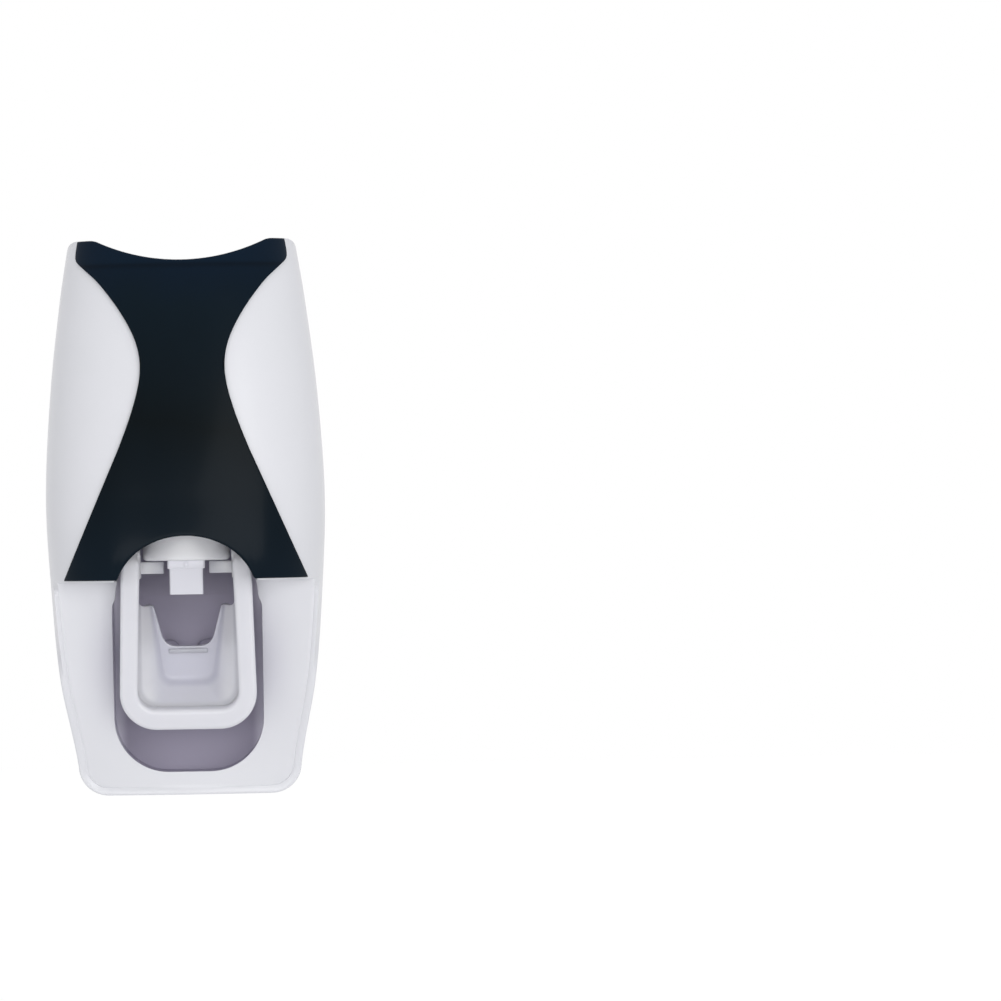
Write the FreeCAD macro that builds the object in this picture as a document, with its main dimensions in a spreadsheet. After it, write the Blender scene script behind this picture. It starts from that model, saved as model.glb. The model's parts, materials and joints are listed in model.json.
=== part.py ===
import FreeCAD, Part
import math
import os
import Sketcher

# Wall-hung toothpaste dispenser. Everything is drawn on the bench first: x to the right as seen from
# the front, the wall at y = 0 with the dispenser towards -y, and z up from the foot of the housing.
# Each finished sub-part is then lowered by origin_height, so the origin lies on the wall face of the
# adhesive pad. Lengths are in millimetres and angles in degrees.

doc = FreeCAD.newDocument("toothpaste_dispenser")

size_groups = {
    "whole dispenser": {
        "body_height": 140.0,
        "half_width": 35.2,
        "pivot_cover": 12.8,
        "wall_thick": 2.2,
        "front_fullness": 2.5,
        "rear_rim": 1.0,
        "origin_height": 98.0,
    },
    "clearances": {
        "overrun": 5.0,
        "seat_gap": 0.15,
        "soft_gap": 0.3,
        "bore_gap": 0.08,
    },
    "outline of the housing": {
        "foot_corner": 7.5,
        "top_corner": 2.2,
        "saddle_half": 21.8,
        "saddle_drop": 5.3,
        "saddle_blend": 4.0,
    },
    "scooped apron": {
        "ledge_drop": 6.7,
        "scoop_foot": 2.5,
        "rim_width": 2.2,
    },
    "lever opening": {
        "opening_gap": 1.4,
        "opening_below": 10.5,
        "opening_corner": 13.6,
        "arch_inset": 0.2,
        "arch_rise": 15.1,
        "arch_above": 4.3,
    },
    "front panel": {
        "panel_thick": 1.2,
        "panel_top_half": 26.5,
        "panel_foot_half": 30.7,
        "panel_shoulder": 5.8,
    },
    "recess liner": {
        "liner_wall": 1.5,
        "liner_back": 11.5,
        "liner_side_drop": 2.3,
        "liner_back_drop": 1.3,
    },
    "wall plate": {
        "pad_thick": 1.0,
        "pad_margin": 2.0,
        "plate_half": 22.0,
        "plate_tall": 54.0,
        "plate_thick": 2.5,
        "plate_corner": 5.0,
        "stud_half": 15.0,
        "stud_rise": 17.0,
        "stud_neck": 2.3,
        "stud_head": 4.4,
        "stud_head_thick": 2.0,
    },
    "back cover": {
        "cover_gap": 0.5,
        "cover_thick": 2.5,
        "lift_travel": 12.0,
        "keyhole_gap": 0.3,
    },
    "screws": {
        "screw_shank": 1.2,
        "screw_length": 9.0,
        "screw_head": 2.5,
        "screw_head_thick": 1.6,
        "screw_boss": 3.0,
        "boss_rib": 2.4,
        "low_screw_height": 13.5,
        "low_screw_half": 23.6,
        "high_screw_height": 98.0,
        "high_screw_half": 28.6,
    },
    "pump slide": {
        "axis_depth": 34.0,
        "slide_radius": 11.0,
        "slide_wall": 1.4,
        "slide_foot": 59.3,
        "slide_tall": 10.7,
        "slide_floor": 2.0,
        "slide_edge": 0.6,
    },
    "nozzle": {
        "nozzle_offset": 4.2,
        "nozzle_half": 4.2,
        "nozzle_deep": 4.6,
        "nozzle_tall": 6.5,
        "neck_half": 4.7,
        "neck_tall": 2.0,
        "mouth_half": 2.8,
        "mouth_tall": 4.6,
        "spigot_radius": 3.0,
        "paste_bore": 2.1,
        "nozzle_edge": 0.5,
        "pip_half": 0.5,
        "pip_proud": 0.4,
    },
    "pump bracket": {
        "bracket_rise": 6.7,
        "bracket_thick": 3.0,
        "bracket_half": 25.0,
        "bracket_lead": 1.0,
        "bracket_rear": 15.0,
        "lug_half": 31.0,
        "lug_deep": 4.5,
        "lug_screw_half": 27.0,
        "lug_screw_depth": 28.0,
        "lug_boss_tall": 9.0,
        "ear_gap": 0.9,
        "ear_thick": 2.6,
        "ear_half_deep": 4.2,
        "ear_below": 4.2,
        "post_half": 18.5,
        "post_radius": 3.0,
    },
    "pump head": {
        "spring_room": 9.2,
        "head_thick": 2.5,
        "head_radius": 14.0,
        "head_lug": 4.0,
        "cup_tall": 10.5,
        "cup_outer": 11.0,
        "cup_inner": 9.2,
        "stem_radius": 6.0,
        "stem_drop": 6.0,
        "stem_floor": 1.6,
        "stem_bore": 4.4,
        "port_radius": 0.9,
        "port_circle": 2.8,
        "port_count": 4,
        "valve_hole": 1.0,
    },
    "soft pump pieces": {
        "socket_bore": 6.2,
        "socket_throat": 4.6,
        "socket_flange": 11.2,
        "socket_flange_thick": 2.2,
        "socket_step": 4.0,
        "bellows_outer": 8.9,
        "bellows_inner": 7.3,
        "bellows_wall": 0.9,
        "bellows_folds": 3,
        "bellows_cuff": 3.0,
        "flap_radius": 4.2,
        "flap_thick": 0.7,
        "flap_knob": 1.5,
        "flap_knob_tall": 1.2,
        "duck_flange": 3.2,
        "duck_flange_thick": 0.7,
        "duck_stem": 1.75,
        "duck_tip": 0.9,
    },
    "collar and tube guide": {
        "collar_wall": 1.6,
        "collar_tall": 10.0,
        "collar_lip": 1.2,
        "guide_thick": 2.0,
        "guide_gap": 0.6,
        "guide_front": 46.0,
        "guide_rear": 11.5,
        "rail_thick": 2.2,
        "rail_reach": 2.6,
        "rail_front": 37.0,
        "rail_rear": 19.0,
    },
    "return spring": {
        "spring_radius": 10.2,
        "wire_radius": 0.4,
        "spring_turns": 5,
    },
    "lever": {
        "pivot_rise": 1.7,
        "lever_lean": 11.0,
        "ring_reach": 44.7,
        "ring_taper": 1.3,
        "ring_side": 4.7,
        "ring_bar": 5.3,
        "ring_corner": 9.6,
        "ring_inner_corner": 4.6,
        "ring_proud": 2.5,
        "ring_deep": 5.0,
        "ring_edge": 0.9,
        "boss_radius": 3.5,
        "trough_deep": 11.0,
        "trough_wall": 1.4,
        "trough_top_drop": 11.0,
        "trough_back_drop": 35.6,
        "trough_back_half": 6.2,
        "trough_back_top_half": 9.6,
        "trough_corner": 2.4,
        "lip_half": 5.0,
        "lip_tall": 1.3,
        "lip_proud": 0.9,
        "horn_thick": 1.6,
        "horn_top_drop": 0.2,
        "horn_foot_drop": 6.2,
        "tab_inner": 5.7,
        "tab_reach": 12.0,
        "tab_radius": 1.5,
        "tab_gap": 0.3,
        "tab_block": 2.0,
    },
    "cut-out of the trough": {
        "cut_round": 2.0,
        "cut_top_half": 12.4,
        "cut_mouth_drop": 10.5,
        "cut_shelf_half": 11.2,
        "cut_shelf_drop": 13.4,
        "cut_neck_half": 8.4,
        "cut_neck_drop": 15.8,
        "cut_floor_half": 5.0,
        "cut_floor_drop": 26.6,
    },
    "pins and bumpers": {
        "pin_radius": 1.4,
        "pin_head": 2.4,
        "pin_head_thick": 0.5,
        "bumper_radius": 3.0,
        "bumper_half": 5.0,
        "bumper_drop": 25.0,
        "bumper_tall": 1.6,
    },
}

# Shares of body_height, half_width and shell_depth that give the housing its form, station by
# station from the foot up: height, half width, depth where the flank starts to round, depth at x = 0.
station_shares = [
    (0.0, 0.773, 0.340, 0.493),
    (0.081, 0.818, 0.410, 0.595),
    (0.214, 0.915, 0.476, 0.816),
    (0.388, 0.977, 0.510, 1.000),
    (0.543, 1.000, 0.527, 0.986),
    (0.729, 0.957, 0.493, 0.918),
    (0.893, 0.881, 0.459, 0.833),
    (1.0, 0.815, 0.425, 0.757),
]

# Depth of the middle of the apron at the lower stations, as shares of shell_depth.
apron_foot_share = 0.485
apron_shares = [0.507, 0.578, 0.646]

# Waisted edge of the front panel from its shoulder down: share of half_width, share of body_height.
panel_edge_shares = [
    (0.700, 0.9500),
    (0.585, 0.9214),
    (0.412, 0.8643),
    (0.3125, 0.8107),
    (0.2926, 0.7680),
    (0.341, 0.7000),
    (0.457, 0.6214),
]
panel_edge_slope_share = 0.45

front_points = 13
steps_per_turn = 4
flank_lean_share = 0.17
hollow_lean_share = 0.3


class Size:
    # A length that keeps both its sheet expression and its present value.
    def __init__(self, text, value):
        self.text = text
        self.value = float(value)

    def joined(self, sign, other, value, swap=False):
        other_text = other.text if isinstance(other, Size) else repr(other)
        left, right = (other_text, self.text) if swap else (self.text, other_text)
        return Size("(%s %s %s)" % (left, sign, right), value)

    def __add__(self, other):
        return self.joined("+", other, self.value + number(other))

    def __radd__(self, other):
        return self.joined("+", other, number(other) + self.value, swap=True)

    def __sub__(self, other):
        return self.joined("-", other, self.value - number(other))

    def __rsub__(self, other):
        return self.joined("-", other, number(other) - self.value, swap=True)

    def __mul__(self, other):
        return self.joined("*", other, self.value * number(other))

    def __rmul__(self, other):
        return self.joined("*", other, number(other) * self.value, swap=True)

    def __truediv__(self, other):
        return self.joined("/", other, self.value / number(other))

    def __neg__(self):
        return Size("(0 - %s)" % self.text, -self.value)


class Sizes:
    pass


def number(size):
    return size.value if isinstance(size, Size) else float(size)


def point(x, y, z):
    return FreeCAD.Vector(number(x), number(y), number(z))


def fill_sheet():
    sheet = doc.addObject("Spreadsheet::Sheet", "Sizes")
    named = Sizes()
    row = 1
    for group, sizes in size_groups.items():
        sheet.set("A%d" % row, group)
        row += 1
        for alias, value in sizes.items():
            sheet.set("A%d" % row, alias)
            sheet.set("B%d" % row, str(value))
            sheet.setAlias("B%d" % row, alias)
            setattr(named, alias, Size("Sizes.%s" % alias, value))
            row += 1
    doc.recompute()
    return named


s = fill_sheet()
parts = {}


def bind(item, prop, size):
    text = size.text if isinstance(size, Size) else repr(float(size))
    item.setExpression(prop, text)


def place(item, x=0, y=0, z=0):
    for axis, size in (("x", x), ("y", y), ("z", z)):
        bind(item, "Placement.Base.%s" % axis, size)
    return item


# Plain solids whose sizes and places are bound to the sheet.
def box(name, x0, x1, y0, y1, z0, z1):
    item = doc.addObject("Part::Box", name)
    bind(item, "Length", x1 - x0)
    bind(item, "Width", y1 - y0)
    bind(item, "Height", z1 - z0)
    return place(item, x0, y0, z0)


def rod(name, direction, radius, length, x, y, z):
    item = doc.addObject("Part::Cylinder", name)
    bind(item, "Radius", radius)
    bind(item, "Height", length)
    turn = FreeCAD.Rotation(FreeCAD.Vector(0, 0, 1), FreeCAD.Vector(*direction))
    item.Placement = FreeCAD.Placement(FreeCAD.Vector(), turn)
    return place(item, x, y, z)


def fuse(name, items):
    item = doc.addObject("Part::MultiFuse", name)
    item.Shapes = items
    return item


def cut(name, base, tools):
    item = doc.addObject("Part::Cut", name)
    item.Base = base
    item.Tool = tools[0] if len(tools) == 1 else fuse(name + "Tools", tools)
    return item


def common(name, items):
    item = doc.addObject("Part::MultiCommon", name)
    item.Shapes = items
    return item


def group(name, items):
    item = doc.addObject("Part::Compound", name)
    item.Links = items
    return item


def form(name, shape):
    item = doc.addObject("Part::Feature", name)
    item.Shape = shape
    return item


def rounded_edges(name, base, radius, wanted):
    doc.recompute()
    item = doc.addObject("Part::Fillet", name)
    item.Base = base
    edges = base.Shape.Edges
    item.Edges = [(i + 1, number(radius), number(radius)) for i, edge in enumerate(edges) if wanted(edge)]
    return item


def finish(label, item, x=0, y=0, z=0):
    place(item, x, y, z - s.origin_height)
    item.Label = label
    parts[label] = item
    return item


# Sketches of straight lines whose corners are bound to the sheet.
def sketch_on(body, role, offset=0):
    plane = [feature for feature in body.Origin.OriginFeatures if feature.Role == role][0]
    sketch = body.newObject("Sketcher::SketchObject", body.Name + "Sketch")
    sketch.AttachmentSupport = [(plane, "")]
    sketch.MapMode = "FlatFace"
    bind(sketch, "AttachmentOffset.Base.z", offset)
    return sketch


def draw(sketch, corners):
    first = sketch.GeometryCount
    count = len(corners)
    for i in range(count):
        start = corners[i]
        end = corners[(i + 1) % count]
        sketch.addGeometry(Part.LineSegment(point(start[0], start[1], 0), point(end[0], end[1], 0)))
    for i in range(count):
        following = first + (i + 1) % count
        sketch.addConstraint(Sketcher.Constraint("Coincident", first + i, 2, following, 1))
    for i, corner in enumerate(corners):
        for kind, size in (("DistanceX", corner[0]), ("DistanceY", corner[1])):
            index = sketch.addConstraint(Sketcher.Constraint(kind, -1, 1, first + i, 1, number(size)))
            if isinstance(size, Size):
                sketch.setExpression("Constraints[%d]" % index, size.text)


def turned(name, corners):
    body = doc.addObject("PartDesign::Body", name)
    sketch = sketch_on(body, "XZ_Plane")
    draw(sketch, corners)
    turn = body.newObject("PartDesign::Revolution", name + "Turn")
    turn.Profile = sketch
    turn.ReferenceAxis = (sketch, ["V_Axis"])
    turn.Angle = 360
    return body


def plate(name, half, foot, top, depth, thick, corner):
    # A plate that stands parallel to the wall, its rear face at depth, with rounded corners.
    body = doc.addObject("PartDesign::Body", name)
    sketch = sketch_on(body, "XZ_Plane", depth)
    draw(sketch, [(-half, foot), (half, foot), (half, top), (-half, top)])
    pad = body.newObject("PartDesign::Pad", name + "Pad")
    pad.Profile = sketch
    bind(pad, "Length", thick)
    doc.recompute()
    names = []
    for i, edge in enumerate(pad.Shape.Edges):
        ends = [vertex.Point for vertex in edge.Vertexes]
        if abs(ends[0].y - ends[1].y) > number(thick) / 2:
            names.append("Edge%d" % (i + 1))
    fillet = body.newObject("PartDesign::Fillet", name + "Corners")
    fillet.Base = (pad, names)
    bind(fillet, "Radius", corner)
    doc.recompute()
    return body


# Outlines in the front view. A corner is x, z and its radius.
def rounded_wire(corners):
    count = len(corners)
    stretches = []
    for i, (x, z, radius) in enumerate(corners):
        here = point(x, 0, z)
        back = (point(corners[i - 1][0], 0, corners[i - 1][1]) - here).normalize()
        ahead_corner = corners[(i + 1) % count]
        ahead = (point(ahead_corner[0], 0, ahead_corner[1]) - here).normalize()
        reach = number(radius)
        if reach == 0:
            stretches.append((here, None, here))
            continue
        half_turn = back.getAngle(ahead) / 2
        run = reach / math.tan(half_turn)
        middle = here + (back + ahead).normalize() * (reach / math.sin(half_turn) - reach)
        stretches.append((here + back * run, middle, here + ahead * run))
    edges = []
    for i, (start, middle, end) in enumerate(stretches):
        if middle is not None:
            edges.append(Part.Arc(start, middle, end).toShape())
        edges.append(Part.makeLine(end, stretches[(i + 1) % count][0]))
    return Part.Wire(edges)


def mirrored(corners):
    return corners + [(-x, z, radius) for x, z, radius in reversed(corners)]


def prism(wire, near, far):
    # Solid between the depths near and far from the wall, over an outline in the front view.
    moved = wire.copy()
    moved.translate(point(0, -number(near), 0))
    return Part.Face(moved).extrude(point(0, number(near) - number(far), 0))


# Form of the housing.
def stations(inset=0):
    found = []
    for height, width, flank, middle in station_shares:
        half = number(s.half_width) * width - number(inset)
        found.append([
            number(s.body_height) * height,
            half,
            number(s.shell_depth) * flank,
            number(s.shell_depth) * middle - number(inset),
        ])
    return found


def front_depth(half, flank, middle, x):
    power = number(s.front_fullness)
    return flank + (middle - flank) * (1 - (x / half) ** power) ** (1 / power)


def front_section(height, half, flank, middle, rear):
    power = 2 / number(s.front_fullness)
    curve_points = []
    for i in range(front_points):
        angle = math.pi * i / (front_points - 1)
        across = math.cos(angle)
        x = half * math.copysign(abs(across) ** power, across)
        depth = flank + (middle - flank) * abs(math.sin(angle)) ** power
        curve_points.append(FreeCAD.Vector(x, -depth, height))
    curve = Part.BSplineCurve()
    curve.interpolate(Points=curve_points, InitialTangent=FreeCAD.Vector(0, -1, 0),
                      FinalTangent=FreeCAD.Vector(0, 1, 0))
    rear_right = FreeCAD.Vector(half, -rear, height)
    rear_left = FreeCAD.Vector(-half, -rear, height)
    return Part.Wire([
        Part.makeLine(rear_right, curve_points[0]),
        curve.toShape(),
        Part.makeLine(curve_points[-1], rear_left),
        Part.makeLine(rear_left, rear_right),
    ])


def beyond(end_row, next_row, height):
    # Station past the end of the housing, on the straight run of its last two stations.
    share = (height - end_row[0]) / (next_row[0] - end_row[0])
    return [height] + [end + share * (inner - end) for end, inner in zip(end_row[1:], next_row[1:])]


def housing_form(inset, rear):
    # Body of the housing set in by inset. It runs past the foot and the top, where others trim it.
    rows = stations(inset)
    past = number(s.overrun)
    rows = ([beyond(rows[0], rows[1], -past)] + rows
            + [beyond(rows[-1], rows[-2], number(s.body_height) + past)])
    wires = [front_section(height, half, flank, middle, number(rear)) for height, half, flank, middle in rows]
    return evened(Part.makeLoft(wires, True, False))


def evened(shape):
    # The right half of a shape joined to its mirror image.
    reach = 2 * number(s.body_height)
    room = Part.makeBox(reach, 2 * reach, 2 * reach, FreeCAD.Vector(0, -reach, -reach))
    right = shape.common(room)
    left = right.mirror(FreeCAD.Vector(), FreeCAD.Vector(1, 0, 0))
    return right.fuse(left).removeSplitter()


def half_width_at(height):
    # Half width of the housing between its stations, along straight chords.
    rows = stations()
    for lower, upper in zip(rows, rows[1:]):
        if height <= upper[0]:
            share = (height - lower[0]) / (upper[0] - lower[0])
            return lower[1] + share * (upper[1] - lower[1])
    return rows[-1][1]


def outline_wire(inset, lean, raised=0):
    # Front view of the housing with rounded foot and top corners. Its sides lean away from the flanks.
    inset = number(inset)
    top = number(s.body_height + raised)
    foot_half = half_width_at(0) - (1 - lean) * inset + number(s.seat_gap)
    top_half = half_width_at(top) - inset + number(s.seat_gap)
    middle = (top + inset + (top_half - foot_half) / lean) / 2
    wide = foot_half + lean * (middle - inset)
    return rounded_wire(mirrored([
        (top_half, top, s.top_corner), (wide, middle, 0), (foot_half, inset, number(s.foot_corner) - inset),
    ]))


def saddle_block(far):
    # Room cut from the top: a shallow arc that runs over a rounded crest on to the level ends.
    top = number(s.body_height)
    half = number(s.saddle_half)
    drop = number(s.saddle_drop)
    blend = number(s.saddle_blend)
    radius = (half ** 2 + drop ** 2) / (2 * drop)
    centre = FreeCAD.Vector(0, 0, top - drop + radius)
    crest = FreeCAD.Vector(math.sqrt(2 * (radius + blend) * drop - drop ** 2), 0, top - blend)
    meet = centre + (crest - centre) * (radius / (radius + blend))
    level = FreeCAD.Vector(crest.x, 0, top)
    middle = crest + ((level - crest) + (meet - crest)).normalize() * blend
    high = top + number(s.overrun)

    def flipped(place_vector):
        return FreeCAD.Vector(-place_vector.x, 0, place_vector.z)

    above = FreeCAD.Vector(crest.x, 0, high)
    wire = Part.Wire([
        Part.makeLine(above, level),
        Part.Arc(level, middle, meet).toShape(),
        Part.Arc(meet, FreeCAD.Vector(0, 0, top - drop), flipped(meet)).toShape(),
        Part.Arc(flipped(meet), flipped(middle), flipped(level)).toShape(),
        Part.makeLine(flipped(level), flipped(above)),
        Part.makeLine(flipped(above), above),
    ])
    return prism(wire, -s.overrun * 2, far)


def outline_block(inset):
    # Room of the outline wire, with the saddle cut out of its top.
    deep = s.shell_depth + s.panel_thick + s.overrun
    return prism(outline_wire(inset, flank_lean_share), -s.overrun, deep).cut(saddle_block(deep + s.overrun))


def scoop(extra):
    # Hollow of the apron under the ledge. With extra it is the same surface set deeper by that much.
    extra = number(extra)
    rows = stations()
    foot = number(s.scoop_foot)
    foot_row = [foot] + [
        lower + (upper - lower) * foot / rows[1][0] for lower, upper in zip(rows[0][1:], rows[1][1:])
    ]
    levels = [foot_row] + rows[1:4]
    levels[-1] = [number(s.ledge_height)] + levels[-1][1:]
    shares = [apron_foot_share] + apron_shares
    outside = number(s.shell_depth) + number(s.panel_thick) + number(s.overrun)
    wires = []
    for i, ((height, half, flank, middle), share) in enumerate(zip(levels, shares)):
        rim = half - number(s.rim_width)
        edge = half + number(s.overrun)
        centre = number(s.shell_depth) * share
        crest = centre + (front_depth(half, flank, middle, rim) - centre) * (edge / rim) ** 2
        if i == 0:
            height -= extra
        if i == len(levels) - 1:
            height += extra
        left = FreeCAD.Vector(-edge, extra - crest, height)
        middle_point = FreeCAD.Vector(0, extra - centre, height)
        right = FreeCAD.Vector(edge, extra - crest, height)
        far_right = FreeCAD.Vector(edge, -outside, height)
        far_left = FreeCAD.Vector(-edge, -outside, height)
        wires.append(Part.Wire([
            Part.Arc(left, middle_point, right).toShape(),
            Part.makeLine(right, far_right),
            Part.makeLine(far_right, far_left),
            Part.makeLine(far_left, left),
        ]))
    return Part.makeLoft(wires, True, False)


def opening_block(grow, near, far):
    # Opening for the lever: straight sides with a rounded foot, under an elliptical arch.
    grow = number(grow)
    centre = number(s.arch_top) - number(s.arch_rise)
    half = number(s.opening_half) + grow
    low = number(s.opening_foot) - grow
    corner = number(s.opening_corner) + grow
    wire = rounded_wire([(half, centre, 0), (half, low, corner), (-half, low, corner), (-half, centre, 0)])
    lower = prism(wire, near, far)
    ellipse = Part.Ellipse(FreeCAD.Vector(), number(s.arch_half) + grow, number(s.arch_rise) + grow)
    arch_wire = Part.Wire([ellipse.toShape()])
    arch_wire.rotate(FreeCAD.Vector(), FreeCAD.Vector(1, 0, 0), 90)
    arch_wire.translate(FreeCAD.Vector(0, 0, centre))
    return lower.fuse(prism(arch_wire, near, far)).removeSplitter()


def housing_cavity(gap):
    # Room inside the housing, clear of its walls by gap and open at the top.
    inset = s.wall_thick + gap
    bound = prism(outline_wire(inset, flank_lean_share, s.overrun), -2 * s.overrun, s.shell_depth + s.overrun)
    return housing_form(inset, -s.overrun).common(bound).cut(scoop(inset))


def shell_wall():
    # Wall of the whole housing with the lever opening cut through it, before it is parted in three.
    bound = prism(outline_wire(s.rim_width, hollow_lean_share), 0, s.shell_depth + s.overrun)
    hollow = scoop(0).common(bound)
    outer = housing_form(0, s.rear_rim).common(outline_block(0)).cut(hollow)
    far = s.shell_depth + s.panel_thick + s.overrun
    opening = opening_block(0, s.liner_back, far)
    return outer, outer.cut(housing_cavity(0)).cut(opening)


def apron_room(gap):
    # Room of the apron inside the rim of the shells, grown by gap.
    bound = prism(outline_wire(s.rim_width - gap, hollow_lean_share), s.rear_rim, s.shell_depth + s.overrun)
    return scoop(s.wall_thick + gap).common(bound)


def above_parting(low):
    # Everything above the height at which the upper and lower shells meet.
    wide = 2 * number(s.half_width)
    deep = number(s.shell_depth) + 2 * number(s.overrun)
    return Part.makeBox(2 * wide, 2 * deep, number(s.body_height), point(-wide, -deep, low))


def rear_boss(name, side, half, height):
    # Screw boss for the back cover, joined to the flank by a rib and drilled from behind.
    front = -(s.cover_front + s.screw_length)
    rear = -s.cover_front
    boss = rod(name + "Boss", (0, -1, 0), s.screw_boss, s.screw_length, side * half, rear, height)
    inner_x = side * half
    outer_x = side * s.half_width
    x0, x1 = (inner_x, outer_x) if side > 0 else (outer_x, inner_x)
    rib = box(name + "Rib", x0, x1, front, rear, height - s.boss_rib / 2, height + s.boss_rib / 2)
    drill = rod(name + "Drill", (0, -1, 0), s.screw_shank + s.bore_gap, s.screw_length + s.overrun,
                side * half, rear + s.overrun, height)
    return [boss, rib], [drill]


def bracket_boss(name, side):
    # Boss that carries a lug of the pump bracket.
    x = side * s.lug_screw_half
    foot = s.bracket_foot - s.lug_boss_tall
    boss = rod(name + "Boss", (0, 0, 1), s.screw_boss, s.lug_boss_tall, x, -s.lug_screw_depth, foot)
    outer_x = side * s.half_width
    x0, x1 = (x, outer_x) if side > 0 else (outer_x, x)
    rib = box(name + "Rib", x0, x1, -s.lug_screw_depth - s.boss_rib / 2, -s.lug_screw_depth + s.boss_rib / 2,
              foot, s.bracket_foot)
    drill = rod(name + "Drill", (0, 0, 1), s.screw_shank + s.bore_gap, s.screw_length + s.overrun,
                x, -s.lug_screw_depth, s.bracket_foot - s.screw_length)
    return [boss, rib], [drill]


def guide_rail(name, side):
    # Ledge on the flank under the tube guide.
    inner_x = side * (s.guide_edge - s.rail_reach)
    outer_x = side * s.half_width
    x0, x1 = (inner_x, outer_x) if side > 0 else (outer_x, inner_x)
    return box(name, x0, x1, -s.rail_front, -s.rail_rear, s.guide_foot - s.rail_thick, s.guide_foot)


def make_shells():
    # Upper shell, lower shell and apron: together they are the white housing.
    outer, wall = shell_wall()
    rims = wall.cut(apron_room(s.seat_gap))
    parting = s.ledge_height + s.wall_thick
    upper = form("UpperWall", rims.common(above_parting(parting)))
    lower = form("LowerWall", rims.cut(above_parting(parting - s.seat_gap)))
    finish("apron", form("Apron", wall.common(apron_room(0))))
    high_solids = []
    high_drills = []
    low_solids = []
    low_drills = []
    for side, name in ((1, "Right"), (-1, "Left")):
        added, drilled = rear_boss("Low" + name, side, s.low_screw_half, s.low_screw_height)
        low_solids += added
        low_drills += drilled
        added, drilled = rear_boss("High" + name, side, s.high_screw_half, s.high_screw_height)
        high_solids += added
        high_drills += drilled
        added, drilled = bracket_boss("Bracket" + name, side)
        high_solids += added
        high_drills += drilled
        high_solids.append(guide_rail("GuideRail" + name, side))
    for label, wall_part, solids, drills in (("upper_shell", upper, high_solids, high_drills),
                                             ("lower_shell", lower, low_solids, low_drills)):
        inside = form(label + "Inside", outer)
        fittings = common(label + "Fittings", [fuse(label + "Bosses", solids), inside])
        joined = fuse(label + "Joined", [wall_part, fittings])
        finish(label, cut(label + "Drilled", joined, drills))


def make_front_panel():
    layer = housing_form(-s.panel_thick, s.rear_rim).cut(housing_form(0, -s.overrun))
    layer = layer.common(outline_block(-s.panel_thick))
    half_width = number(s.half_width)
    tall = number(s.body_height)
    edge_points = [FreeCAD.Vector(half_width * x, 0, tall * z) for x, z in panel_edge_shares]
    shoulder = tall - number(s.panel_shoulder)
    corner = FreeCAD.Vector(number(s.panel_top_half), 0, shoulder)
    foot = FreeCAD.Vector(number(s.panel_foot_half), 0, number(s.ledge_height))
    above = tall + number(s.overrun)
    slope = FreeCAD.Vector(panel_edge_slope_share, 0, -1)
    first = (edge_points[1] - edge_points[0]).normalize()
    curve = Part.BSplineCurve()
    curve.interpolate(Points=edge_points, InitialTangent=first, FinalTangent=slope.normalize())
    top = FreeCAD.Vector(corner.x, 0, above)
    right = [
        Part.makeLine(top, corner),
        Part.makeLine(corner, edge_points[0]),
        curve.toShape(),
        Part.makeLine(edge_points[-1], foot),
    ]
    left = [edge.mirror(FreeCAD.Vector(), FreeCAD.Vector(1, 0, 0)) for edge in right]
    bottom = Part.makeLine(foot, FreeCAD.Vector(-foot.x, 0, foot.z))
    roof = Part.makeLine(top, FreeCAD.Vector(-top.x, 0, above))
    wire = Part.Wire(Part.__sortEdges__(right + left + [bottom, roof]))
    far = s.shell_depth + s.panel_thick + s.overrun
    waist = prism(wire, s.liner_back, far)
    opening = opening_block(0, s.liner_back, far)
    finish("front_panel", form("FrontPanel", layer.common(waist).cut(opening)))


def make_recess_liner():
    grow = s.liner_wall
    back = s.liner_back
    far = s.shell_depth + s.overrun
    top = s.arch_top + s.overrun
    tray = opening_block(grow, back, far).cut(opening_block(0, back + grow, far + s.overrun))
    room = housing_cavity(s.seat_gap)
    tray = tray.common(room)
    half = s.opening_half + s.overrun
    tray_form = form("LinerTray", tray)
    above_sides = box("LinerAboveSides", -half, half, -(far + s.overrun), -(back + grow),
                      s.liner_side_top, top)
    above_back = box("LinerAboveBack", -half, half, -far, -back + s.overrun, s.liner_back_top, top)
    finish("recess_liner", cut("RecessLiner", tray_form, [above_sides, above_back]))


def make_back_cover():
    # Flat cover set inside the flanks, hung on the wall plate by four keyholes.
    room = form("CoverRoom", housing_form(s.wall_thick + s.seat_gap, -s.overrun).common(
        outline_block(s.wall_thick + s.seat_gap)))
    wide = s.half_width
    slab = box("CoverSlab", -wide, wide, -s.cover_front, -s.cover_rear, 0, s.body_height)
    blank = common("CoverBlank", [room, slab])
    holes = []
    front = s.cover_thick + 2 * s.overrun
    rear = s.overrun - s.cover_rear
    for side, name in ((1, "Right"), (-1, "Left")):
        for rise, level in ((1, "Upper"), (-1, "Lower")):
            x = side * s.stud_half
            z = s.origin_height + rise * s.stud_rise
            slot = s.stud_neck + s.keyhole_gap
            holes.append(rod("Key%s%s" % (level, name), (0, -1, 0), slot, front, x, rear, z))
            holes.append(box("Slot%s%s" % (level, name), x - slot, x + slot, rear - front, rear,
                             z - s.lift_travel, z))
            holes.append(rod("Entry%s%s" % (level, name), (0, -1, 0), s.stud_head + s.keyhole_gap, front,
                             x, rear, z - s.lift_travel))
        for half, height, level in ((s.low_screw_half, s.low_screw_height, "Low"),
                                    (s.high_screw_half, s.high_screw_height, "High")):
            holes.append(rod("CoverHole%s%s" % (level, name), (0, -1, 0), s.screw_shank + s.bore_gap, front,
                             side * half, rear, height))
    finish("back_cover", cut("BackCover", blank, holes))


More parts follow.
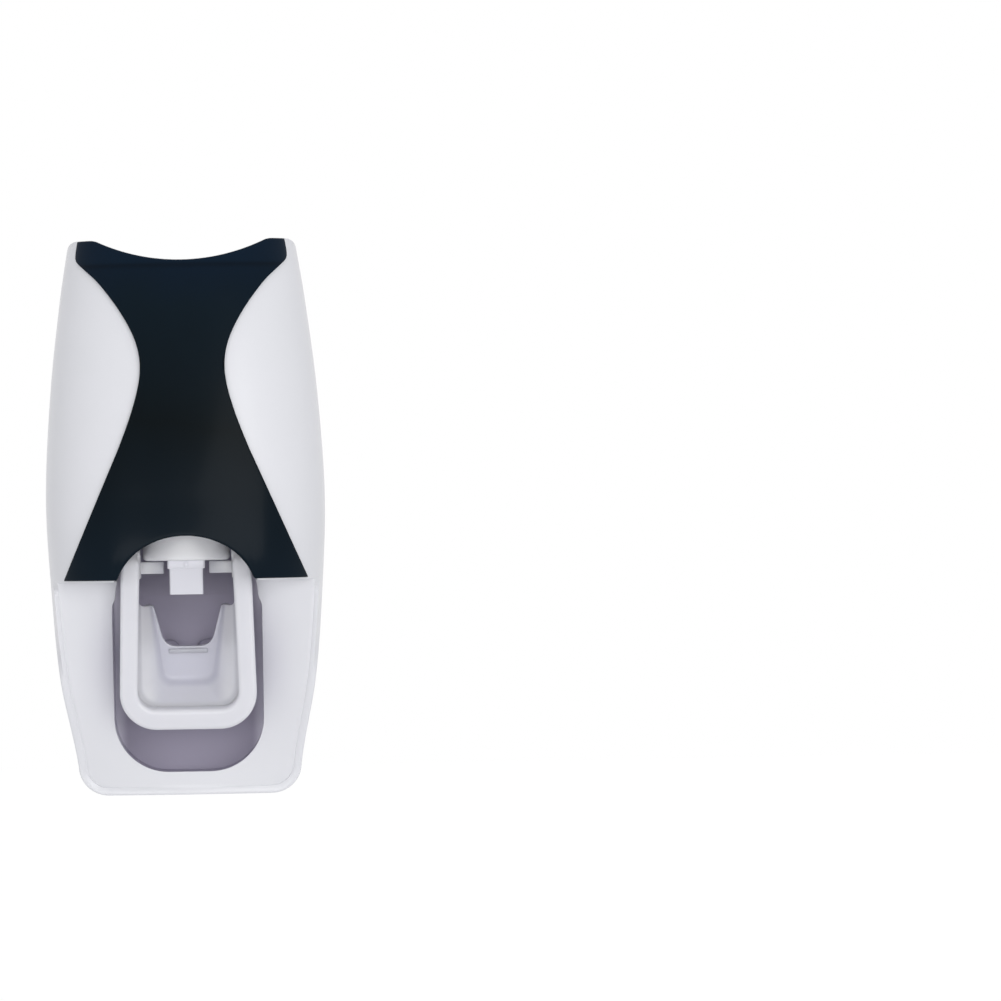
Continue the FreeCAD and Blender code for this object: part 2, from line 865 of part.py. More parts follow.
def make_wall_plate():
    # Plate with four headed studs that the back cover hooks over.
    foot = s.origin_height - s.plate_tall / 2
    top = s.origin_height + s.plate_tall / 2
    base = plate("PlateBlank", s.plate_half, foot, top, s.pad_thick, s.plate_thick, s.plate_corner)
    front = s.pad_thick + s.plate_thick
    pieces = [base]
    for side, name in ((1, "Right"), (-1, "Left")):
        for rise, level in ((1, "Upper"), (-1, "Lower")):
            x = side * s.stud_half
            z = s.origin_height + rise * s.stud_rise
            neck = s.cover_front + s.cover_gap - front
            pieces.append(rod("Neck%s%s" % (level, name), (0, -1, 0), s.stud_neck, neck, x, -front, z))
            pieces.append(rod("Head%s%s" % (level, name), (0, -1, 0), s.stud_head, s.stud_head_thick,
                              x, -(s.cover_front + s.cover_gap), z))
    finish("wall_plate", fuse("WallPlate", pieces))


def make_adhesive_pad():
    half = s.plate_half - s.pad_margin
    rise = s.plate_tall / 2 - s.pad_margin
    pad = plate("AdhesivePad", half, s.origin_height - rise, s.origin_height + rise, 0, s.pad_thick,
                s.plate_corner - s.pad_margin)
    finish("adhesive_pad", pad)


def screw(name, direction, x, y, z):
    # One screw: the seat of its head at x, y, z and its shank along direction.
    back = [-step for step in direction]
    shank = rod(name + "Shank", direction, s.screw_shank, s.screw_length, x, y, z)
    head = rod(name + "Head", back, s.screw_head, s.screw_head_thick, x, y, z)
    return fuse(name, [shank, head])


def make_screws():
    rear = []
    upright = []
    for side, name in ((1, "Right"), (-1, "Left")):
        for half, height, level in ((s.low_screw_half, s.low_screw_height, "Low"),
                                    (s.high_screw_half, s.high_screw_height, "High")):
            rear.append(screw("CoverScrew%s%s" % (level, name), (0, -1, 0), side * half, -s.cover_rear,
                              height))
        upright.append(screw("BracketScrew" + name, (0, 0, -1), side * s.lug_screw_half, -s.lug_screw_depth,
                             s.bracket_foot + s.bracket_thick))
        upright.append(screw("HeadScrew" + name, (0, 0, -1), side * s.post_half, -s.axis_depth,
                             s.head_foot + s.head_thick))
    finish("cover_screws", group("CoverScrews", rear))
    finish("pump_screws", group("PumpScrews", upright))


def make_pump_bracket():
    # Cross plate that guides the slide, carries the head on two posts and holds the hinge pins in two ears.
    foot = s.bracket_foot
    top = foot + s.bracket_thick
    solids = [
        box("BracketPlate", -s.bracket_half, s.bracket_half, -s.bracket_front, -s.bracket_rear, foot, top),
        box("BracketLugs", -s.lug_half, s.lug_half, -(s.lug_screw_depth + s.lug_deep),
            -(s.lug_screw_depth - s.lug_deep), foot, top),
    ]
    holes = [rod("SlideHole", (0, 0, 1), s.slide_radius + s.soft_gap, s.bracket_thick + 2 * s.overrun,
                 0, -s.axis_depth, foot - s.overrun)]
    for side, name in ((1, "Right"), (-1, "Left")):
        inner_x = side * s.ear_inner
        outer_x = side * (s.ear_inner + s.ear_thick)
        x0, x1 = (inner_x, outer_x) if side > 0 else (outer_x, inner_x)
        solids.append(box("Ear" + name, x0, x1, -(s.pivot_depth + s.ear_half_deep),
                          -(s.pivot_depth - s.ear_half_deep), s.ear_foot, top))
        solids.append(rod("Post" + name, (0, 0, 1), s.post_radius, s.head_foot - foot, side * s.post_half,
                          -s.axis_depth, foot))
        holes.append(rod("PinHole" + name, (side, 0, 0), s.pin_radius + s.bore_gap,
                         s.ear_thick + 2 * s.overrun,
                         side * (s.ear_inner - s.overrun), -s.pivot_depth, s.pivot_height))
        holes.append(rod("PostHole" + name, (0, 0, -1), s.screw_shank + s.bore_gap, s.screw_length,
                         side * s.post_half, -s.axis_depth, s.head_foot + s.head_thick))
        holes.append(rod("LugHole" + name, (0, 0, -1), s.screw_shank + s.bore_gap, s.screw_length,
                         side * s.lug_screw_half, -s.lug_screw_depth, top + s.overrun))
    finish("pump_bracket", cut("PumpBracket", fuse("BracketSolids", solids), holes))


def make_pump_head():
    # Flange with an upward cup for the tube socket and a downward stem for the bellows.
    foot = s.head_foot
    top = foot + s.head_thick
    low = foot - s.stem_drop
    body = turned("HeadTurned", [
        (0, low), (s.stem_radius, low), (s.stem_radius, foot), (s.head_radius, foot), (s.head_radius, top),
        (s.cup_outer, top), (s.cup_outer, top + s.cup_tall), (s.cup_inner,
                                                              top + s.cup_tall), (s.cup_inner, top),
        (s.stem_bore, top), (s.stem_bore, low + s.stem_floor), (0, low + s.stem_floor),
    ])
    place(body, 0, -s.axis_depth, 0)
    reach = s.post_half + s.head_lug
    lugs = box("HeadLugs", -reach, reach, -(s.axis_depth + s.head_lug), -(s.axis_depth - s.head_lug),
               foot, top)
    bore = rod("HeadBore", (0, 0, 1), s.stem_bore, s.head_thick + 2 * s.overrun, 0, -s.axis_depth,
               low + s.stem_floor)
    holes = [bore, rod("ValveHole", (0, 0, 1), s.valve_hole, s.stem_floor + 2 * s.overrun, 0, -s.axis_depth,
                       low - s.overrun)]
    port_count = int(s.port_count.value)
    for i in range(port_count):
        angle = 2 * math.pi * i / port_count
        holes.append(rod("Port%d" % i, (0, 0, 1), s.port_radius, s.stem_floor + 2 * s.overrun,
                         s.port_circle * math.cos(angle), s.port_circle * math.sin(angle) - s.axis_depth,
                         low - s.overrun))
    for side, name in ((1, "Right"), (-1, "Left")):
        holes.append(rod("HeadHole" + name, (0, 0, 1), s.screw_shank + s.bore_gap,
                         s.head_thick + 2 * s.overrun,
                         side * s.post_half, -s.axis_depth, foot - s.overrun))
    trimmed = cut("HeadLugsOpen", lugs, [rod("LugsOpen", (0, 0, 1), s.cup_inner, s.head_thick, 0,
                                             -s.axis_depth,
                                             foot)])
    finish("pump_head", cut("PumpHead", fuse("HeadSolids", [body, trimmed]), holes))


def make_tube_socket():
    # Stepped soft socket that grips the neck of the tube.
    foot = s.head_foot + s.head_thick
    rim = foot + s.cup_tall
    top = rim + s.socket_flange_thick
    outer = s.cup_inner - s.bore_gap
    step = s.socket_step
    finish("tube_socket", turned("TubeSocket", [
        (s.socket_throat, foot), (outer, foot), (outer, rim), (s.socket_flange, rim), (s.socket_flange, top),
        (s.socket_bore + s.bellows_wall, top), (s.socket_bore, top - s.bellows_wall), (s.socket_bore,
                                                                                       foot + step),
        (s.socket_throat, foot + step),
    ]), 0, -s.axis_depth)


def make_socket_collar():
    # Collar over the cup, with a lip that keeps the socket in.
    rim = s.head_foot + s.head_thick + s.cup_tall
    lip = rim + s.socket_flange_thick + s.seat_gap
    inner = s.socket_flange + s.seat_gap
    outer = inner + s.collar_wall
    low = lip - s.collar_tall
    finish("socket_collar", turned("SocketCollar", [
        (inner, low), (outer, low), (outer, lip + s.collar_lip), (inner - s.collar_lip, lip + s.collar_lip),
        (inner - s.collar_lip, lip), (inner, lip),
    ]), 0, -s.axis_depth)


def make_tube_guide():
    # Shelf round the collar that steadies the shoulder of the tube.
    room = form("GuideRoom", housing_form(s.wall_thick + s.soft_gap, -s.overrun))
    foot = s.guide_foot
    slab = box("GuideSlab", -s.half_width, s.half_width, -s.guide_front, -s.guide_rear, foot,
               foot + s.guide_thick)
    hole = rod("GuideHole", (0, 0, 1), s.guide_hole, s.guide_thick + 2 * s.overrun, 0, -s.axis_depth,
               foot - s.overrun)
    finish("tube_guide", cut("TubeGuide", common("GuideBlank", [room, slab]), [hole]))


def make_inlet_valve():
    # Umbrella flap under the ports, held by a knob above the stem floor.
    low = s.head_foot - s.stem_drop
    neck = s.valve_hole - s.bore_gap
    top = low + s.stem_floor + s.bore_gap
    finish("inlet_valve", turned("InletValve", [
        (0, low - s.flap_thick - s.bore_gap), (s.flap_radius, low - s.bore_gap - s.flap_thick / 2),
        (s.flap_radius, low - s.bore_gap), (neck, low - s.bore_gap), (neck, top), (s.flap_knob, top),
        (neck, top + s.flap_knob_tall), (0, top + s.flap_knob_tall),
    ]), 0, -s.axis_depth)


def make_pump_bellows():
    # Folded sleeve between the floor of the slide and the stem of the head.
    foot = s.slide_foot + s.slide_floor + s.soft_gap
    neck_foot = s.head_foot - s.stem_drop
    top = neck_foot + s.bellows_cuff
    bore = s.stem_radius + s.bore_gap
    folds = int(s.bellows_folds.value)
    pitch = (neck_foot - foot) / folds
    outside = [(s.bellows_outer, foot)]
    inside = [(s.bellows_outer - s.bellows_wall, foot)]
    for i in range(folds):
        valley = foot + pitch * (i + 0.5)
        crest = foot + pitch * (i + 1)
        outside.append((s.bellows_inner, valley))
        inside.append((s.bellows_inner - s.bellows_wall, valley))
        if i < folds - 1:
            outside.append((s.bellows_outer, crest))
            inside.append((s.bellows_outer - s.bellows_wall, crest))
    outside += [(bore + s.bellows_wall + s.bellows_wall / 2, neck_foot), (bore + s.bellows_wall, top)]
    inside += [(bore, neck_foot)]
    corners = outside + [(bore, top)] + list(reversed(inside))
    finish("pump_bellows", turned("PumpBellows", corners), 0, -s.axis_depth)


def helix_point(turn, radius, foot, pitch):
    angle = 2 * math.pi * turn
    return FreeCAD.Vector(radius * math.cos(angle), radius * math.sin(angle), foot + pitch * turn)


def helix_tangent(turn, radius, pitch):
    angle = 2 * math.pi * turn
    run = FreeCAD.Vector(-radius * math.sin(angle), radius * math.cos(angle), pitch / (2 * math.pi))
    return run.normalize()


def biarc(start, start_run, end, end_run):
    # Two tangent arcs from start to end that leave and arrive along the given runs.
    chord = end - start
    runs = start_run + end_run
    a = 2 * (1 - start_run.dot(end_run))
    b = 2 * chord.dot(runs)
    reach = (math.sqrt(b * b + 4 * a * chord.dot(chord)) - b) / (2 * a)
    near = start + start_run * reach
    far = end - end_run * reach
    joint = (near + far) * 0.5
    arcs = []
    for first, corner, last in ((start, near, joint), (joint, far, end)):
        back = (first - corner).normalize()
        ahead = (last - corner).normalize()
        half_turn = back.getAngle(ahead) / 2
        leg = (first - corner).Length
        radius = leg * math.tan(half_turn)
        middle = corner + (back + ahead).normalize() * (leg / math.cos(half_turn) - radius)
        arcs.append(Part.Arc(first, middle, last).toShape())
    return arcs


def make_return_spring():
    # Compression spring between the rim of the slide and the flange of the head.
    wire = number(s.wire_radius)
    radius = number(s.spring_radius)
    foot = number(s.slide_foot + s.slide_tall + s.bore_gap) + wire
    top = number(s.head_foot - s.bore_gap) - wire
    turns = int(s.spring_turns.value)
    pitch = (top - foot) / turns
    edges = []
    for i in range(turns * steps_per_turn):
        start, end = i / steps_per_turn, (i + 1) / steps_per_turn
        edges += biarc(helix_point(start, radius, foot, pitch), helix_tangent(start, radius, pitch),
                       helix_point(end, radius, foot, pitch), helix_tangent(end, radius, pitch))
    path = Part.Wire(edges)
    ring = Part.Circle(helix_point(0, radius, foot, pitch), helix_tangent(0, radius, pitch), wire)
    coil = path.makePipeShell([Part.Wire([ring.toShape()])], True, False)
    print("spring coil: gap between turns %.2f mm, volume share %.3f"
          % (pitch - 2 * wire, coil.Volume / (math.pi * wire ** 2 * path.Length)))
    finish("return_spring", form("ReturnSpring", coil), 0, -s.axis_depth)


def make_pump_slide():
    # Round cup that rides up the bracket; its front shows through the arch.
    foot = s.slide_foot
    top = foot + s.slide_tall
    floor = foot + s.slide_floor
    inner = s.slide_radius - s.slide_wall
    body = turned("SlideTurned", [
        (0, foot), (s.slide_radius - s.slide_edge, foot), (s.slide_radius, foot + s.slide_edge),
        (s.slide_radius, top), (inner, top), (inner, floor), (0, floor),
    ])
    place(body, 0, -s.axis_depth, 0)
    hole = rod("SpigotHole", (0, 0, 1), s.spigot_radius + s.bore_gap, s.slide_floor + 2 * s.overrun,
               0, -s.nozzle_depth, foot - s.overrun)
    finish("pump_slide", cut("PumpSlide", body, [hole]))


def make_nozzle():
    # Square spout under the slide: a wider neck, a spigot through the floor and a flat flared mouth.
    top = s.slide_foot
    shoulder = top - s.neck_tall
    foot = shoulder - s.nozzle_tall
    y = -s.nozzle_depth
    spout = box("SpoutBlock", -s.nozzle_half, s.nozzle_half, y - s.nozzle_deep, y + s.nozzle_deep, foot,
                shoulder)
    spout = rounded_edges("SpoutRounded", spout, s.nozzle_edge, is_upright)
    deep = s.nozzle_deep + (s.neck_half - s.nozzle_half) / 2
    neck = box("SpoutNeck", -s.neck_half, s.neck_half, y - deep, y + deep, shoulder, top)
    neck = rounded_edges("NeckRounded", neck, s.nozzle_edge, is_upright)
    spigot = rod("Spigot", (0, 0, 1), s.spigot_radius, s.slide_floor, 0, y, top)
    pip = box("SpoutPip", -s.pip_half, s.pip_half, y - deep - s.pip_proud, y - deep + s.pip_proud,
              shoulder + s.pip_proud, top - s.pip_proud)
    mouth = box("SpoutMouth", -s.mouth_half, s.mouth_half, y - s.mouth_half, y + s.mouth_half,
                foot - s.overrun, foot + s.mouth_tall)
    bore = rod("SpoutBore", (0, 0, 1), s.paste_bore, s.neck_tall + s.nozzle_tall + s.slide_floor + s.overrun,
               0, y, foot)
    finish("nozzle", cut("Nozzle", fuse("SpoutSolids", [spout, neck, spigot, pip]), [mouth, bore]))


def is_upright(edge):
    ends = [vertex.Point for vertex in edge.Vertexes]
    return len(ends) == 2 and abs(ends[0].z - ends[1].z) > edge.Length / 2


def make_outlet_valve():
    # Soft flanged valve that hangs in the bore of the nozzle and narrows to its lips.
    seat = s.slide_foot + s.slide_floor
    rise = s.duck_flange_thick
    shoulder = s.slide_foot - s.neck_tall
    tip = shoulder - s.nozzle_tall + s.mouth_tall / 2
    finish("outlet_valve", turned("OutletValve", [
        (s.duck_tip - s.bore_gap, tip), (s.duck_tip, tip), (s.duck_stem, shoulder), (s.duck_stem, seat),
        (s.duck_flange, seat), (s.duck_flange, seat + rise), (s.duck_tip, seat + rise),
        (s.duck_tip, shoulder),
    ]), 0, -s.nozzle_depth)


def ring_block():
    # Frame of the lever in its upright place, before it leans: two side bars and a rounded foot bar.
    pivot = s.pivot_height
    foot = pivot - s.ring_reach
    inner = s.ring_half - s.ring_side
    inner_top = s.ring_top_half - s.ring_side
    near = s.pivot_depth + s.ring_proud - s.ring_deep
    far = s.pivot_depth + s.ring_proud
    top = pivot + s.boss_radius
    outer_wire = rounded_wire([
        (s.ring_top_half, top, 0), (s.ring_half, foot, s.ring_corner),
        (-s.ring_half, foot, s.ring_corner), (-s.ring_top_half, top, 0),
    ])
    inner_wire = rounded_wire([
        (inner_top, top + s.overrun, 0), (inner, foot + s.ring_bar, s.ring_inner_corner),
        (-inner, foot + s.ring_bar, s.ring_inner_corner), (-inner_top, top + s.overrun, 0),
    ])
    frame = prism(outer_wire, near, far).cut(prism(inner_wire, near - s.overrun, far + s.overrun))
    front = -number(far)
    rounding = [edge for edge in frame.Edges
                if all(abs(v.Y - front) < number(s.seat_gap) for v in edge.Vertexes)
                and edge.BoundBox.ZMin < number(pivot)]
    return frame.makeFillet(number(s.ring_edge), rounding)


def trough_wire(half, half_top, foot, corner, depth, grow):
    top = s.trough_top
    wire = rounded_wire([
        (half_top + grow, top, 0), (half + grow, foot - grow, corner + grow),
        (-half - grow, foot - grow, corner + grow), (-half_top - grow, top, 0),
    ])
    wire.translate(point(0, -depth, 0))
    return wire


def trough_block():
    # Funnel behind the frame that the brush head pushes against, with its upper part cut away.
    near = s.pivot_depth + s.ring_proud - s.ring_deep
    back = near - s.trough_deep
    half = s.ring_half - s.ring_side
    foot = s.pivot_height - s.ring_reach + s.ring_bar

    def funnel(grow, extra):
        front = trough_wire(half, half, foot, s.ring_inner_corner, near, grow)
        rear = trough_wire(s.trough_back_half, s.trough_back_top_half, s.trough_back_foot, s.trough_corner,
                           back - extra, grow)
        return Part.makeLoft([front, rear], True, True)

    hollow = funnel(0, 0)
    lip = Part.makeBox(number(2 * s.lip_half), number(s.trough_wall + s.lip_proud), number(s.lip_tall),
                       point(-s.lip_half, -(back + s.lip_proud), s.cut_floor_height - s.lip_tall))
    shell = funnel(s.trough_wall, s.trough_wall).cut(hollow).fuse(lip)
    wire = rounded_wire(mirrored([
        (s.cut_top_half, s.pivot_height + s.overrun, 0), (s.cut_top_half, s.cut_mouth_height, 0),
        (s.cut_shelf_half, s.cut_shelf_height, s.cut_round), (s.cut_neck_half, s.cut_neck_height,
                                                              s.cut_round),
        (s.cut_floor_half, s.cut_floor_height, s.cut_round),
    ]))
    return shell.cut(prism(wire, back - s.overrun, near))


def make_lever_frame():
    frame = ring_block().fuse(trough_block())
    axis = point(0, -s.pivot_depth, s.pivot_height)
    frame.rotate(axis, FreeCAD.Vector(1, 0, 0), number(s.lever_lean))
    solids = [form("LeverRing", frame)]
    holes = []
    tab_depth = s.pivot_depth - s.tab_reach
    tab_axis = s.slide_foot - s.tab_gap - s.tab_radius
    inner = s.ring_top_half - s.ring_side
    for side, name in ((1, "Right"), (-1, "Left")):
        def span(label, x0, x1, y0, y1, z0, z1, side=side, name=name):
            low, high = (side * x0, side * x1) if side > 0 else (side * x1, side * x0)
            return box(label + name, low, high, y0, y1, z0, z1)
        solids.append(rod("LeverBoss" + name, (side, 0, 0), s.boss_radius, s.ring_side, side * inner,
                          -s.pivot_depth, s.pivot_height))
        solids.append(span("Horn", s.horn_inner, s.horn_inner + s.horn_thick, -s.pivot_depth,
                           -(tab_depth - s.tab_radius), s.horn_foot, s.horn_top))
        solids.append(rod("TabNose" + name, (side, 0, 0), s.tab_radius,
                          s.horn_inner + s.horn_thick - s.tab_inner,
                          side * s.tab_inner, -tab_depth, tab_axis))
        solids.append(span("TabBlock", s.tab_inner, s.horn_inner + s.horn_thick, -(tab_depth + s.tab_block),
                           -tab_depth, tab_axis - s.tab_radius, tab_axis + s.tab_radius))
        holes.append(rod("LeverBore" + name, (side, 0, 0), s.pin_radius + s.bore_gap,
                         s.ring_side + 2 * s.overrun, side * (inner - s.overrun), -s.pivot_depth,
                         s.pivot_height))
    finish("lever_frame", cut("LeverFrame", fuse("LeverSolids", solids), holes))


def make_hinge_pins():
    # Two headed pins, pressed into the ears, that the lever turns on.
    pins = []
    inner = s.ring_top_half - s.ring_side
    for side, name in ((1, "Right"), (-1, "Left")):
        start = side * (inner - s.bore_gap)
        length = s.ear_inner + s.ear_thick - inner + s.bore_gap
        shank = rod("PinShank" + name, (side, 0, 0), s.pin_radius, length, start, -s.pivot_depth,
                    s.pivot_height)
        head = rod("PinHead" + name, (side, 0, 0), s.pin_head, s.pin_head_thick,
                   side * (s.ear_inner + s.ear_thick), -s.pivot_depth, s.pivot_height)
        pins.append(fuse("Pin" + name, [shank, head]))
    finish("hinge_pins", group("HingePins", pins))


def make_lever_bumpers():
    # Soft studs on the back of the liner that stop the trough.
    back = s.liner_back + s.liner_wall
    studs = []
    for side, name in ((1, "Right"), (-1, "Left")):
        studs.append(rod("Bumper" + name, (0, -1, 0), s.bumper_radius, s.bumper_tall, side * s.bumper_half,
                         -back, s.bumper_height))
    finish("lever_bumpers", group("LeverBumpers", studs))


# Sizes and places that several pieces share.
s.pivot_depth = s.axis_depth + s.tab_reach
s.shell_depth = s.pivot_depth + s.pivot_cover
s.pivot_height = s.slide_foot + s.pivot_rise
s.horn_inner = s.slide_radius + s.soft_gap + s.seat_gap
s.ring_top_half = s.horn_inner + s.ring_side
s.ring_half = s.ring_top_half + s.ring_taper
s.ledge_height = s.pivot_height - s.ledge_drop
s.opening_half = s.ring_half + s.opening_gap
s.opening_foot = s.pivot_height - s.ring_reach - s.opening_below
s.arch_half = s.opening_half - s.arch_inset
s.arch_top = s.pivot_height + s.arch_above
s.liner_side_top = s.ledge_height - s.liner_side_drop
s.liner_back_top = s.arch_top - s.liner_back_drop
s.bracket_foot = s.slide_foot + s.bracket_rise
s.bracket_front = s.pivot_depth + s.bracket_lead
s.ear_inner = s.ring_top_half + s.ear_gap
s.ear_foot = s.pivot_height - s.ear_below
s.trough_top = s.pivot_height - s.trough_top_drop
s.trough_back_foot = s.pivot_height - s.trough_back_drop
s.horn_top = s.pivot_height - s.horn_top_drop
s.horn_foot = s.pivot_height - s.horn_foot_drop
s.cut_mouth_height = s.pivot_height - s.cut_mouth_drop
s.cut_shelf_height = s.pivot_height - s.cut_shelf_drop
s.cut_neck_height = s.pivot_height - s.cut_neck_drop
s.cut_floor_height = s.pivot_height - s.cut_floor_drop
s.bumper_height = s.pivot_height - s.bumper_drop
s.cover_rear = s.pad_thick + s.plate_thick + s.cover_gap
s.cover_front = s.cover_rear + s.cover_thick
s.head_foot = s.slide_foot + s.slide_tall + s.spring_room
s.guide_foot = s.head_foot + s.head_thick + s.screw_head_thick + s.soft_gap
s.guide_hole = s.socket_flange + s.collar_wall + s.guide_gap
s.guide_edge = s.half_width - s.wall_thick
s.nozzle_depth = s.axis_depth + s.nozzle_offset

makers = [
    make_shells, make_front_panel, make_recess_liner, make_back_cover, make_wall_plate,
    make_adhesive_pad, make_screws, make_pump_bracket, make_pump_head, make_tube_socket,
    make_socket_collar, make_tube_guide, make_inlet_valve, make_pump_bellows, make_return_spring,
    make_pump_slide, make_nozzle, make_outlet_valve, make_lever_frame, make_hinge_pins,
    make_lever_bumpers,
]
for maker in makers:
    maker()
doc.recompute()

troubled = [item.Name for item in doc.Objects if "Invalid" in item.State or "Error" in item.State]
if troubled:
    raise ValueError("failed objects: " + ", ".join(troubled))
for label, item in parts.items():
    if item.Shape.isNull() or not item.Shape.isValid() or not item.Shape.Solids:
        raise ValueError(label + " has no valid solid")
    print("%-16s %2d solid(s) %9.1f mm3" % (label, len(item.Shape.Solids), item.Shape.Volume))

os.makedirs("parts", exist_ok=True)
for label, item in parts.items():
    item.Shape.exportStep("parts/%s.step" % label)
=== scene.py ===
import bpy
import bmesh
import json
import math
from mathutils import Matrix, Vector


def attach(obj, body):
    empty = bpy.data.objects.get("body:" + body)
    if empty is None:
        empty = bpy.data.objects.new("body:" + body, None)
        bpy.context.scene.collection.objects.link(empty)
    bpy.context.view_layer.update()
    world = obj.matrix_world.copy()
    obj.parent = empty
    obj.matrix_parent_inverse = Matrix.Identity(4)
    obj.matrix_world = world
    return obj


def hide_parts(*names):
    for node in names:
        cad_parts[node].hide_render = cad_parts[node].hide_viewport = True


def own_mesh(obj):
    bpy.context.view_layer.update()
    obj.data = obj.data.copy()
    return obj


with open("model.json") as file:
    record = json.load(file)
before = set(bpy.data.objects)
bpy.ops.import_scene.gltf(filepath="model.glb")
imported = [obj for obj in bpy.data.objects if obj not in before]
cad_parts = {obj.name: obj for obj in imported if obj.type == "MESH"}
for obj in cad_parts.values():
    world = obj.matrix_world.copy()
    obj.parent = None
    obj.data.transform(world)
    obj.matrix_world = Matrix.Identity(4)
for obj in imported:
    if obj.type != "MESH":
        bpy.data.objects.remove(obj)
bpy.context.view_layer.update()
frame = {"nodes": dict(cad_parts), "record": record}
print("frame loaded")

# Lengths are millimetres on the bench: x to the right, y 0 at the wall and minus to the front, z up from
# the foot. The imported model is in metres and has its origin 98 mm above the foot.
benchHeight = 98.0
perMetre = 1000.0
quarterTurn = math.pi / 2
nearly = 1e-9


def toFrame(x, y, z):
    return Vector((x / perMetre, y / perMetre, (z - benchHeight) / perMetre))


def colour(code):
    # a colour as it is seen, turned from its sRGB code into the linear values that shaders use
    parts = [int(code[i:i + 2], 16) / 255 for i in (0, 2, 4)]
    return tuple(p / 12.92 if p <= 0.04045 else ((p + 0.055) / 1.055) ** 2.4 for p in parts) + (1.0,)


def curveThrough(points, at):
    # smooth value between rows of position and value, level beyond the ends
    at = min(max(at, points[0][0]), points[-1][0])
    slopes = []
    for i in range(len(points)):
        a = points[max(i - 1, 0)]
        b = points[min(i + 1, len(points) - 1)]
        slopes.append((b[1] - a[1]) / (b[0] - a[0]))
    i = next(i for i in range(len(points) - 1) if at <= points[i + 1][0])
    (x0, y0), (x1, y1) = points[i], points[i + 1]
    run = x1 - x0
    t = (at - x0) / run
    return ((2 * t ** 3 - 3 * t ** 2 + 1) * y0 + (t ** 3 - 2 * t ** 2 + t) * run * slopes[i]
            + (3 * t ** 2 - 2 * t ** 3) * y1 + (t ** 3 - t ** 2) * run * slopes[i + 1])


def smooth(low, high, at):
    t = min(max((at - low) / (high - low), 0), 1)
    return t * t * (3 - 2 * t)


def eased(t, share):
    # 0 to 1, with steps that get smaller towards the end
    return t * (1 - share) + share * (1 - (1 - t) ** 2)


def bent(start, corner, end, t):
    # a point on the curve that leaves start towards the corner and comes to end from it
    return start * (1 - t) ** 2 + corner * 2 * t * (1 - t) + end * t ** 2


class Wire:
    # shader maths: a socket whose operators add Math nodes
    def __init__(self, tree, socket):
        self.tree = tree
        self.socket = socket

    def combine(self, operation, first, second):
        node = self.tree.nodes.new("ShaderNodeMath")
        node.operation = operation
        for slot, value in enumerate((first, second)):
            if isinstance(value, Wire):
                self.tree.links.new(value.socket, node.inputs[slot])
            else:
                node.inputs[slot].default_value = value
        return Wire(self.tree, node.outputs[0])

    def __add__(self, other):
        return self.combine("ADD", self, other)

    def __radd__(self, other):
        return self.combine("ADD", other, self)

    def __sub__(self, other):
        return self.combine("SUBTRACT", self, other)

    def __rsub__(self, other):
        return self.combine("SUBTRACT", other, self)

    def __mul__(self, other):
        return self.combine("MULTIPLY", self, other)

    def __rmul__(self, other):
        return self.combine("MULTIPLY", other, self)

    def __truediv__(self, other):
        return self.combine("DIVIDE", self, other)

    def __rtruediv__(self, other):
        return self.combine("DIVIDE", other, self)


class NodeMaker:
    # adds nodes to one tree
    def __init__(self, tree):
        self.tree = tree

    def node(self, kind, output=0, settings=None, stops=None, **sockets):
        # settings come first; a socket goes by its name, or by n and its number
        made = self.tree.nodes.new(kind)
        for key, value in (settings or {}).items():
            setattr(made, key, value)
        if stops:
            ramp = made.color_ramp
            while len(ramp.elements) < len(stops):
                ramp.elements.new(1.0)
            for element, (position, tint) in zip(ramp.elements, stops):
                element.position = position
                element.color = colour(tint)
        for key, value in sockets.items():
            numbered = key[0] == "n" and key[1:].isdigit()
            socket = made.inputs[int(key[1:]) if numbered else key.replace("_", " ")]
            if isinstance(value, Wire):
                self.tree.links.new(value.socket, socket)
            else:
                socket.default_value = value
        return Wire(self.tree, made.outputs[output])

    def path(self, ray):
        return self.node("ShaderNodeLightPath", ray)


class Finish(NodeMaker):
    # one material: its shader takes fixed values, and wires for what changes over the surface
    def __init__(self, name, **fixed):
        self.material = bpy.data.materials.new(name)
        self.material.use_nodes = True
        super().__init__(self.material.node_tree)
        self.shader = self.tree.nodes["Principled BSDF"]
        for socket, value in fixed.items():
            self.shader.inputs[socket.replace("_", " ")].default_value = value
        self.place = self.node("ShaderNodeTexCoord", "Object")

    def feed(self, socket, wire):
        self.tree.links.new(wire.socket, self.shader.inputs[socket])

    def along(self, axis):
        return self.node("ShaderNodeSeparateXYZ", axis, Vector=self.place)

    def single(self, operation, wire):
        return self.node("ShaderNodeMath", settings={"operation": operation}, n0=wire)

    def halfWidth(self):
        return self.single("ABSOLUTE", self.along("X"))

    def between(self, wire, low, high):
        # 0 up to low, 1 from high on, and smooth between them
        return self.node("ShaderNodeMapRange", "Result", settings={"interpolation_type": "SMOOTHSTEP"},
                         Value=wire, From_Min=low, From_Max=high)

    def noise(self, scale, detail=2.0, vector=None):
        return self.node("ShaderNodeTexNoise", "Fac", Vector=vector or self.place, Scale=scale, Detail=detail)

    def mix(self, amount, first, second):
        # each colour is a code or a wire; sockets 6 and 7 of a Mix node take colours
        first, second = [colour(tint) if isinstance(tint, str) else tint for tint in (first, second)]
        return self.node("ShaderNodeMix", 2, settings={"data_type": "RGBA"}, n0=amount, n6=first, n7=second)

    def bump(self, height, strength, distance):
        self.feed("Normal", self.node("ShaderNodeBump", "Normal", Height=height, Strength=strength,
                                      Distance=distance))

    def grained(self, grain, rough, spread, strength, distance):
        # one pattern in the gloss and in the height
        self.feed("Roughness", rough + grain * spread)
        self.bump(grain, strength, distance)


# Finishes, whose places are metres in the frame, as Object coordinates are

